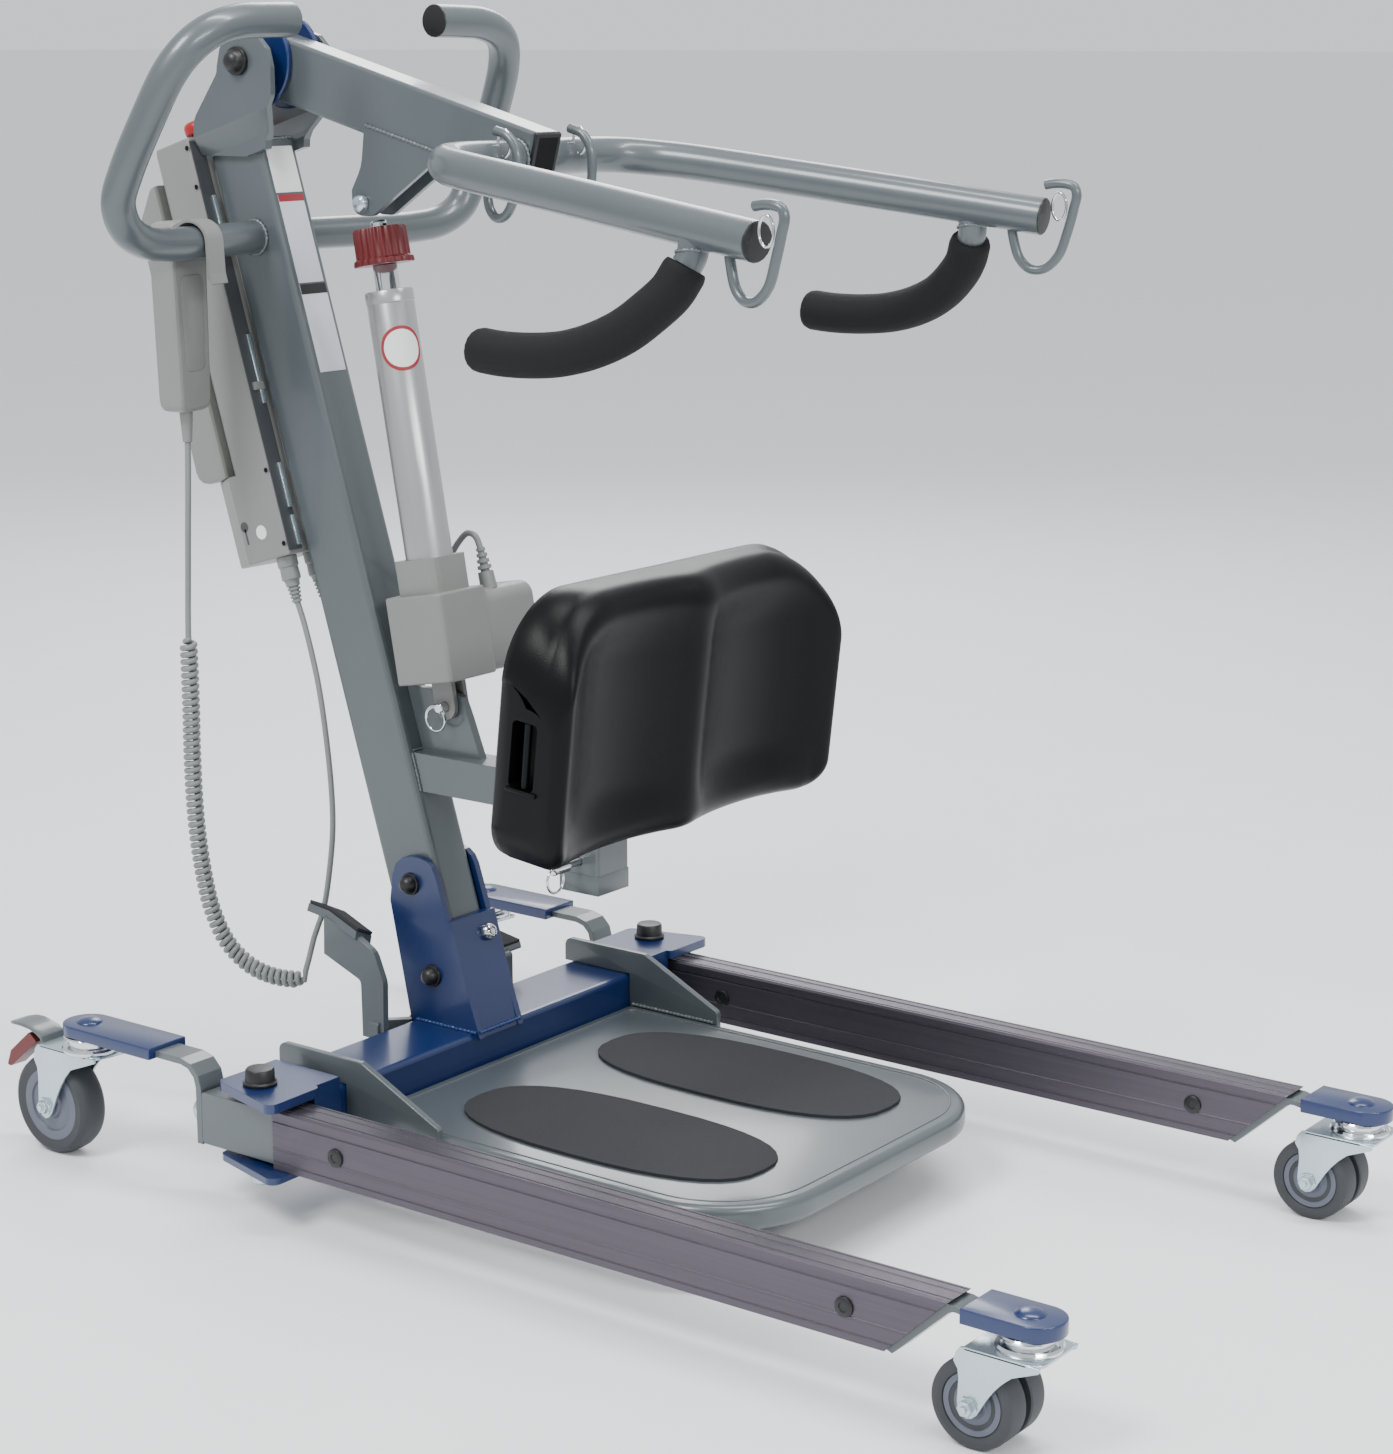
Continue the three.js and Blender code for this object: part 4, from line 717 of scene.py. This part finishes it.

# ---- mast: labels, rail, welds, painted shade on the control box's front face ----
for name, across, face, along, mat, soft in (
    ("plate_white", (-18.5, 17.5), (-0.7, 0.05), (957, 1003), PAPER, 0.2),
    ("label_one", (-17.6, 16.8), (-0.5, 0.05), (867, 955), PALE, 0.15),
    ("label_one_head", (-17.6, 16.8), (-0.65, -0.45), (948, 955), MAROON, 0),
    ("label_two", (-17.8, 17.8), (-0.5, 0.05), (778, 865.4), PALE, 0.15),
    ("label_two_head", (-17.8, 17.8), (-0.65, -0.45), (855.5, 865.4), BLACK, 0), ):
    block(f"mast_{name}", across, face, along, mat, "frame", MAST, soft)
bead("head_weld_front", [(x, -0.6, 1011.4) for x in (-21, -7, 7, 21)], 1.8, WELD, "frame", MAST)
for word, side in SIDES:
    # a dark band painted on the control box's front face as the shade that falls on that face; the zinc strips and
    # clip on it are real
    block(f"box_front_painted_shade_{word}", sorted((side * 26, side * 44)), (73.1, 74.05), (618, 1030), RAIL_AND_SHADE, "frame", MAST)
    for n, (low, high) in enumerate(((930, 975), (765, 835), (660, 705), (622, 652))):
        across = sorted((side * 27, side * 33))
        block(f"rail_strip_{n}_{word}", across, (70.6, 73.3), (low, high), ZINC, "frame", MAST, 0.4)
    block(f"rail_clip_{word}", sorted((side * 27, side * 40)), (69.6, 73.4), (779, 787), PLASTIC, "frame",
          MAST, 0.5)

# ---- control box, battery and emergency stop ----
for n, (v, s) in enumerate(((77.6, 1024), (77.6, 985), (77.6, 700), (77.6, 626))):
    profile = [(0, -45.25), (2.4, -45.25), (2.4, -44.2), (0, -44.2)]
    # dark disc: painted shade in the screw hole, ringed by a light rim
    lathe(f"box_screw_{n}", profile, HOLE_SHADE, "frame", (0, v, s), "X", MAST, None, 20)
    ring(f"box_screw_rim_{n}", (-45.1, v, s), 3.1, 0.45, "X", PLASTIC, "frame", MAST)
for name, radius, v, s, mat in (("sticker", 7, 104.4, 642.5, PAPER), ("keyhole", 5.2, 126, 652, RAIL_AND_SHADE)):
    face = -45.35 if name == "sticker" else -45.2
    profile = [(0, face), (radius, face), (radius, -44.6), (0, -44.6)]
    lathe(f"box_{name}", profile, mat, "frame", (0, v, s), "X", MAST, None, 36 if name == "sticker" else 30)
block("box_keyhole_slot", (-45.2, -44.6), (124.8, 127.2), (634, 650), RAIL_AND_SHADE, "frame", MAST)
lathe("stop_button", [(0, 1026), (8, 1026), (8, 1038), (12.6, 1038.3), (13.6, 1040), (14, 1046.4),
                      (13.2, 1049.4), (10.4, 1051.6),
                      (0, 1052)], SIGNAL, "stop", (-17, 84, 0), "Z", MAST, "emergency_stop", 48)
lathe("stop_collar", [(14.5, 1033.8), (16.4, 1033.8), (16.4, 1035), (14.5, 1035), (14.5, 1033.8)], PLASTIC,
      "frame", (-17, 84, 0), "Z", MAST, None, 40)

# ---- handset ----
for n, (name, high) in enumerate((("up", 36), ("down", 8))):
    lathe(f"button_{name}_dome", [(0, 10.5), (8, 10.5), (8, 14.2), (7.2, 15.2), (0, 15.5)], BLACK,
          f"button_{name}", (0, 0, high), "Y", HANDSET, f"handset_button_{name}", 36)
    tip = 1 if name == "up" else -1
    arrow = [(-3.6, high - 2 * tip), (3.6, high - 2 * tip), (0, high + 4 * tip)]
    prism(f"button_{name}_arrow", arrow, 15.3, 15.75, PAPER, f"button_{name}", "Y", HANDSET)
for n in range(5):
    wide = 6.3 - 0.4 * n
    low = -95 - n * 5
    rib = [(0, low), (wide, low), (wide, low + 2.4), (0, low + 2.4)]
    lathe(f"relief_rib_{n}", rib, PLASTIC, "frame", (0, 0, 0), "Z", HANDSET, None, 24)
prism("handset_panel", rounded([(-17, -40, 8), (17, -40, 8), (21, 62, 8), (-21, 62, 8)]), 13.9, 14.35, RAIL_AND_SHADE,
      "frame", "Y", HANDSET)
panel = rounded([(-16, -52, 9), (16, -52, 9), (19, 40, 9), (-19, 40, 9)])
prism("handset_panel_back", panel, -14.4, -13.9, PLASTIC, "frame", "Y", HANDSET, None, 0.15)

# ---- base: socket bolts, welds, lock bolt, leg bolts, covers, screws ----
button = [(0, -12.5), (3.4, -12.2), (6.4, -10.6), (8.4, -7.8), (9.2, -4.6), (9.4, -3), (10.8, -2.6),
          (11.2, -1.6), (11.2, 0.0), (0, 0.0)]
for n, (y, z) in enumerate(((45, 250), (18.5, 160.6))):
    for word, side in SIDES:
        profile = button if side < 0 else mirrored(button)
        lathe(f"socket_bolt_{n}_{word}", profile, BLACK, "frame",
              (side * 33, y, z), "X")
for word, side in SIDES:
    bead(f"socket_weld_{word}", [(side * 33.6, y, 112) for y in (-38, -20, 0, 20, 40)], 2.2, WELD_BLUE, "frame")
bead("socket_weld_front", [(x, -39.6, 112) for x in (-31, -15, 0, 15, 31)], 2.2, WELD_BLUE, "frame")
profile = [
    (0, -8.4), (3, -8.4), (3.2, -6.6), (4.4, -6.4), (4.8, -8.2), (7, -7), (8.2, -4.6), (8.6, -2.4),
    (8.6, 0), (0, 0),
]
lathe("lock_bolt", profile, CHROME, "frame", (14, -9, 206), "Y", MAST, None, 36)

for word, side in SIDES:
    x = side * LEG_X
    profile = [
        (0, 44), (8, 44), (8, 125.4), (15.6, 125.4), (16, 126.4), (16, 127.6), (14.6, 128.2), (13.8, 129),
        (13.4, 139), (12.2, 140.6), (10, 141), (0, 141),
    ]
    lathe(f"leg_cap_nut_{word}", profile, BLACK, "frame", (x, 0, 0), "Z", HERE, f"leg_bolt_{word}", 40)
    profile = [(0, 29), (8, 29.4), (11.8, 32), (12, 43), (15, 43.4), (15, 47.4), (0, 47.4)]
    lathe(f"leg_nut_under_{word}", profile, ZINC, "frame", (x, 0, 0), "Z", HERE, None, 12)

    low, high, half = 55.0, 112.0, 17.3
    left = [
        (-half, low), (-half, 61), (-half + 0.8, 61.6), (-half + 0.8, 62.6), (-half, 63.2), (-half, 74),
        (-half - 0.5, 74.6), (-half - 0.5, 75.8), (-half, 76.4), (-half, 100), (-half + 0.9, 100.6),
        (-half + 0.9, 102), (-half, 102.6), (-half, high - 2), (-half + 2, high), (-13.4, high), (-13, high - 0.9),
        (-11.6, high - 0.9), (-11.2, high), (-4, high), (-3.6, high - 0.6),
    ]
    outer = left + [(-a, z) for a, z in reversed(left)]
    inner = [(15.3, low), (15.3, 108.8), (-15.3, 108.8), (-15.3, low)]
    section = outer + inner
    points = []
    for front in (False, True):
        for a, z in section:
            y = -752 + 52 * (108.5 - z) / 50 if front else -31
            points.append(place((x + a, y, z)))
    count = len(section)
    faces = [tuple(range(count)), tuple(range(count, 2 * count))]
    for i in range(count):
        j = (i + 1) % count
        faces.append((i, j, count + j, count + i))
    mesh_piece(f"leg_cover_extrusion_{word}", points, faces, EXTRUSION, f"leg_{word}", f"leg_cover_{word}",
               20.0)
    for n, y in enumerate((-109.4, -658.6)):
        for face in (-1, 1):
            base = x + face * 17.2
            plugged = [(0, 0), (8.6, 0), (8.6, 1.6), (7.6, 2.4), (4.2, 2.6), (3.8, 1.8), (0, 1.8)]
            profile = plugged if face > 0 else mirrored(plugged)
            lathe(f"cover_screw_{n}_{word}_{'in' if face * side < 0 else 'out'}", profile, BLACK,
                  f"leg_{word}", (base, y, 83), "X", HERE, None, 32)
    plates = (("front", side * FRONT_X, -770, -849, 100.5, 113.5), ("rear", side * REAR_X, 122.4, 255, 128.5, 140))
    for name, mid, back, tip, low, high in plates:
        plan = rounded([(mid - 24, back, 1), (mid + 24, back, 1), (mid + 24, tip, 23.6),
                        (mid - 24, tip, 23.6)], 16)
        node = f"front_pad_{word}" if name == "front" else f"rear_sleeve_{word}"
        prism(f"{name}_plate_{word}", plan, low, high, BLUE, f"leg_{word}", "Z", HERE, node, 1.2)
    for name, spot in (("rear", (side * REAR_X, REAR_Y, 140)), ("front", (side * FRONT_X, FRONT_Y, 113.5))):
        lathe(f"{name}_pad_dome_{word}", [(0, 4.2), (4, 4), (8, 3.1), (11, 1.6), (12.6, 0.2), (12.8, -0.6)],
              BLUE, f"leg_{word}", spot, "Z", HERE, None, 40)
    profile = [(0, 7.2), (14.4, 7.2), (14.4, 10.4), (12.6, 13.4), (11, 14), (9, 17.8), (5, 20.4), (0, 21)]
    lathe(f"rear_arm_bolt_{word}", profile, ZINC, f"leg_{word}", (x, 62.3, 86), "Y", HERE, None, 36)

# ---- casters ----
FORK_EDGE = [(-38, 44), (-30, 35), (-23, 25), (-17, 14), (-12, 3), (-8, -6), (-4, -11), (1, -13), (6, -11),
             (9, -5), (10, 4), (9.5, 16), (9, 28), (10, 38), (14, 46)]
BRAKE_SPINE = [(54, 105, 15), (53.4, 110, 15), (56, 115.6, 15), (62, 119, 15), (71, 121.4, 14.6),
               (82, 123, 15.4), (92, 122.8, 15), (100, 121.2, 12), (105, 119.4, 7.5), (106.6, 118.6, 2)]


def tongue(name, spine, thick, mat, body, where, stands_for):
    """A bent sheet: spine points are (y, z, half width)."""
    points, faces = [], []
    for i, (y, z, half) in enumerate(spine):
        y0, z0, _ = spine[max(i - 1, 0)]
        y1, z1, _ = spine[min(i + 1, len(spine) - 1)]
        normal = Vector((-(z1 - z0), y1 - y0)).normalized() * thick
        for dy, dz in ((0, 0), (normal.x, normal.y)):
            points += [place((a * half, y + dy, z + dz), where) for a in (-1, -0.6, 0, 0.6, 1)]
    for i in range(len(spine) - 1):
        p, q = i * 10, i * 10 + 10
        for k in range(4):
            faces.append((p + k, p + k + 1, q + k + 1, q + k))
            faces.append((p + 5 + k, q + 5 + k, q + 6 + k, p + 6 + k))
        faces += [(p, q, q + 5, p + 5), (p + 4, p + 9, q + 9, q + 4)]
    for end in (0, (len(spine) - 1) * 10):
        faces += [(end + k, end + k + 1, end + k + 6, end + k + 5) for k in range(4)]
    return mesh_piece(name, points, faces, mat, body, stands_for, 50.0, 0.5)


TYRE_TWIN = [(17, 4), (36.4, 4), (37.5, 5.4), (37.5, 20.5), (36.4, 24.2), (33.6, 26), (30, 26), (27, 24.6),
             (26.4, 23.2), (17, 23.2), (17, 4)]
HUB_TWIN = [(4.6, 23.6), (11, 24.6), (12, 23.2), (20.6, 22.8), (21.2, 23.9), (25.8, 23.9), (26.3, 22.6),
            (26.3, 20), (4.6, 20), (4.6, 23.6)]
TYRE_SINGLE = [(30, -12.5), (40, -14.8), (44, -15.6), (47.4, -13.6), (49.3, -9), (50, -3), (50, 3),
               (49.3, 9), (47.4, 13.6), (44, 15.6), (40, 14.8), (30, 12.5), (30, -12.5)]
HUB_SINGLE = [(4.6, 16), (13, 15.2), (14.5, 12.6), (26, 12), (27, 13.6), (35.4, 13.9), (36.6, 12.8),
              (36.6, 11), (4.6, 11), (4.6, 16)]
for word, side in SIDES:
    centre = (side * FRONT_X, FRONT_Y + FRONT_TRAIL, FRONT_RADIUS)
    body = f"front_roller_{word}"
    far_tyre = [(r, -h) for r, h in TYRE_TWIN]
    lathe(f"front_tyre_near_{word}", TYRE_TWIN, TREAD, body, centre, "X", HERE, f"front_wheel_{word}", 64)
    lathe(f"front_tyre_far_{word}", far_tyre, TREAD, body, centre, "X", HERE, None, 64)
    core = [(4.6, -24), (18, -22), (17.4, -4), (17, 0), (17.4, 4), (18, 22), (4.6, 24), (4.6, -24)]
    hubs = (("hub_core", core), ("hub_a", HUB_TWIN), ("hub_b", [(r, -h) for r, h in HUB_TWIN]))
    for name, profile in hubs:
        lathe(f"front_{name}_{word}", profile, HUB, body, centre, "X", HERE, None, 48)
    centre = (side * REAR_X, REAR_Y + REAR_TRAIL, REAR_RADIUS)
    body = f"rear_roller_{word}"
    lathe(f"rear_tyre_{word}", TYRE_SINGLE, TREAD, body, centre, "X", HERE, f"rear_wheel_{word}", 72)
    core = [(4.6, -12), (34, -12), (34, 12), (4.6, 12), (4.6, -12)]
    hubs = (("hub_core", core), ("hub_a", HUB_SINGLE), ("hub_b", [(r, -h) for r, h in HUB_SINGLE]))
    for name, profile in hubs:
        lathe(f"rear_{name}_{word}", profile, HUB, body, centre, "X", HERE, None, 48)
    casters = (
        ("front", (side * FRONT_X, FRONT_Y), 86, 100.2, 30, FRONT_TRAIL, FRONT_RADIUS),
        ("rear", (side * REAR_X, REAR_Y), 112, 128.2, 20, REAR_TRAIL, REAR_RADIUS),
    )
    for which, stem, top, under, cheek, trail, radius in casters:
        body = f"{which}_caster_{word}"
        origin = Matrix.Translation((*stem, 0))
        scale = (top - 3 - radius) / 59
        edge = [(-26, top - 0.6), (-25, top - 5)]
        edge += [(trail + a, radius + b * scale) for a, b in FORK_EDGE]
        edge += [(trail + 12, top - 6), (trail + 8, top - 0.6)]
        for face in (-1, 1):
            inner, outer = sorted((face * cheek, face * (cheek - 3)))
            facing_word = "in" if face * side < 0 else "out"
            stands = f"{which}_fork_{word}" if face > 0 else None
            prism(f"{which}_cheek_{word}_{facing_word}", edge, inner, outer, ZINC, body, "X", origin,
                  stands, 0.5)
        plan = rounded([(-cheek, -26, 12), (cheek, -26, 12), (cheek, trail + 6, 2), (-cheek, trail + 6, 2)], 10)
        prism(f"{which}_crown_{word}", plan, top - 3, top, ZINC, body, "Z", origin, None, 0.8)
        race = [
            (0, top - 0.6), (25.4, top - 0.6), (27, top + 1.4), (27.3, top + 3.4), (26, top + 5.6),
            (23, top + 6.4), (21, top + 6.8), (21, under - 3.6), (24.6, under - 3.2), (25.4, under - 1.4),
            (24.4, under - 0.1), (0, under - 0.1),
        ]
        lathe(f"{which}_race_{word}", race, CHROME, body, (*stem, 0), "Z", HERE, None, 56)
        for face in (-1, 1):
            nut = [(0, 0), (9, 0), (9, 1.2), (6.8, 1.4), (6.8, 5.6), (5.8, 6.4), (3.4, 6.4), (3.2, 8.4),
                   (0, 8.6)]
            profile = nut if face > 0 else mirrored(nut)
            lathe(f"{which}_axle_nut_{word}_{'in' if face * side < 0 else 'out'}", profile, ZINC, body,
                  (stem[0] + face * cheek, stem[1] + trail, radius), "X", HERE, None, 6)
    foot = Matrix.Translation((side * REAR_X, REAR_Y, 0))
    tongue(f"brake_lever_{word}", BRAKE_SPINE, 2.6, GREY, f"brake_{word}", foot, f"brake_pedal_{word}")
    tab = rounded([(68, 108, 1), (78, 116, 1.5), (106, 92, 2), (112, 76, 1.5), (106, 76, 1.5)], 4)
    prism(f"brake_tab_{word}", tab, -9, 9, RED, f"brake_{word}", "X", foot)

# ---- footplate, pedal and knee bar welds ----
plan = [(-211.6, -36.4, 9), (-211.6, -494, 104), (211.6, -494, 104), (211.6, -36.4, 9)]
prism("footplate_pan", rounded(plan, 20), 55, 79, GREY, "frame", "Z", HERE, "footplate", 7)
ledge = [(-197, -50, 6), (-197, -479.5, 90), (197, -479.5, 90), (197, -50, 6)]
lip = [(a, b, 79.0) for a, b in rounded(ledge, 14)]
wire("footplate_lip", [*lip, lip[0]], 0.9, GREY, "frame")
gusset = [(49.5, 111.4, 1), (49.5, 136, 8), (-56, 136, 12), (-150, 91, 5), (-150, 64, 1), (-36.4, 64, 0),
          (-36.4, 111.4, 0)]
for word, side in SIDES:
    prism(f"plate_bracket_{word}", rounded(gusset), *sorted((side * 211, side * 218)), GREY, "frame", "X",
          HERE, None, 0.8)
for word, along in (("front", (-183.5, -179.4)), ("rear", (-140.6, -136.5))):
    block(f"sleeve_foot_{word}", (-23.5, 23.5), along, (273, 292.4), GREY, "frame", HERE, 0.5)
for word, side in SIDES:
    block(f"sleeve_foot_{word}", sorted((side * 19.4, side * 23.5)), (-180, -140), (273, 292.4), GREY,
          "frame", HERE, 0.5)
for word, side in SIDES:
    bead(f"plate_weld_{word}", [(side * 210.2, y, 79.8) for y in (-146, -120, -94, -68, -42)], 2.2, WELD,
         "frame")
bead("knee_bar_weld_near", [(-19.6, y, z) for y, z in ((41.2, 342), (46, 361), (51.5, 379))], 1.8, WELD,
     "frame")
bead("knee_bar_weld_top", [(x, 52.6, 380.4) for x in (-18, -6, 6, 18)], 1.8, WELD, "frame")
pedal_slope = Matrix.Translation((-75.4, 0, 205)) @ turn(math.radians(24),
                                                         "Y") @ Matrix.Translation((0, 0, -205))
tread = [(80, 205.1, 0), (122, 219.2, 5), (150, 222.1, 0), (150, 225.6, 0), (121, 222.8, 5), (79, 208.6, 0)]
prism("pedal_pad_near", rounded(tread), 0.6, 23.4, MAT, "pedal", "X", pedal_slope, None, 0.6)
tread = [(57.6, 145.1), (132.2, 158.1), (131.8, 160.8), (57.2, 147.8)]
prism("pedal_pad_far", tread, 101, 147, MAT, "pedal", "X", HERE, None, 0.6)

# ---- materials on the CAD nodes that stay ----
STAY = {
    GREY: ["mast", "knee_bar", "knee_post", "boom", "spreader_pedal"],
    BLUE: ["base_frame"], PLASTIC: ["actuator_housing", "control_box", "battery_pack", "handset"],
}
for mat, names in STAY.items():
    for name in names:
        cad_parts[name].data.materials.clear()
        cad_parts[name].data.materials.append(mat)
for word, _ in SIDES:
    for stem, mat in (("foot_pad", MAT), ("leg_tube", GREY), ("rear_arm", GREY)):
        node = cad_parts[f"{stem}_{word}"]
        node.data.materials.clear()
        node.data.materials.append(mat)

# ---- floor, light ----
floor_mesh = bpy.data.meshes.new("floor")
floor_mesh.from_pydata([(-300, -300, 0), (300, -300, 0), (300, 300, 0), (-300, 300, 0)], [], [(0, 1, 2, 3)])
floor = bpy.data.objects.new("floor", floor_mesh)
bpy.context.collection.objects.link(floor)
floor_mesh.materials.append(material("floor_pale", (0.86, 0.87, 0.88, 1.0), 0.75, 0.0, 60, 0.02, 0.0005, 0.008))

world = bpy.data.worlds.new("studio")
world.use_nodes = True
world.node_tree.nodes["Background"].inputs["Color"].default_value = (0.93, 0.96, 1.0, 1.0)
world.node_tree.nodes["Background"].inputs["Strength"].default_value = 1.0
bpy.context.scene.world = world


def area_light(name, spot, target, size, power, colour=(1, 1, 1)):
    data = bpy.data.lights.new(name, "AREA")
    data.shape = "RECTANGLE"
    data.size, data.size_y = size
    data.energy = power
    data.color = colour
    obj = bpy.data.objects.new(name, data)
    obj.location = spot
    obj.rotation_euler = (Vector(target) - Vector(spot)).to_track_quat("-Z", "Y").to_euler()
    bpy.context.collection.objects.link(obj)


area_light("key", (-2.6, 0.4, 3.4), (0, 0, 0.5), (1.2, 1.2), 120)
area_light("front", (-1.2, -3.6, 2.4), (0, 0, 0.6), (2.2, 0.5), 70)
area_light("rim", (2.8, 2.2, 2.6), (0, 0, 0.7), (1.4, 2.0), 60)
area_light("strip", (0.3, -0.6, 3.0), (0, 0, 0.6), (0.3, 2.4), 60)
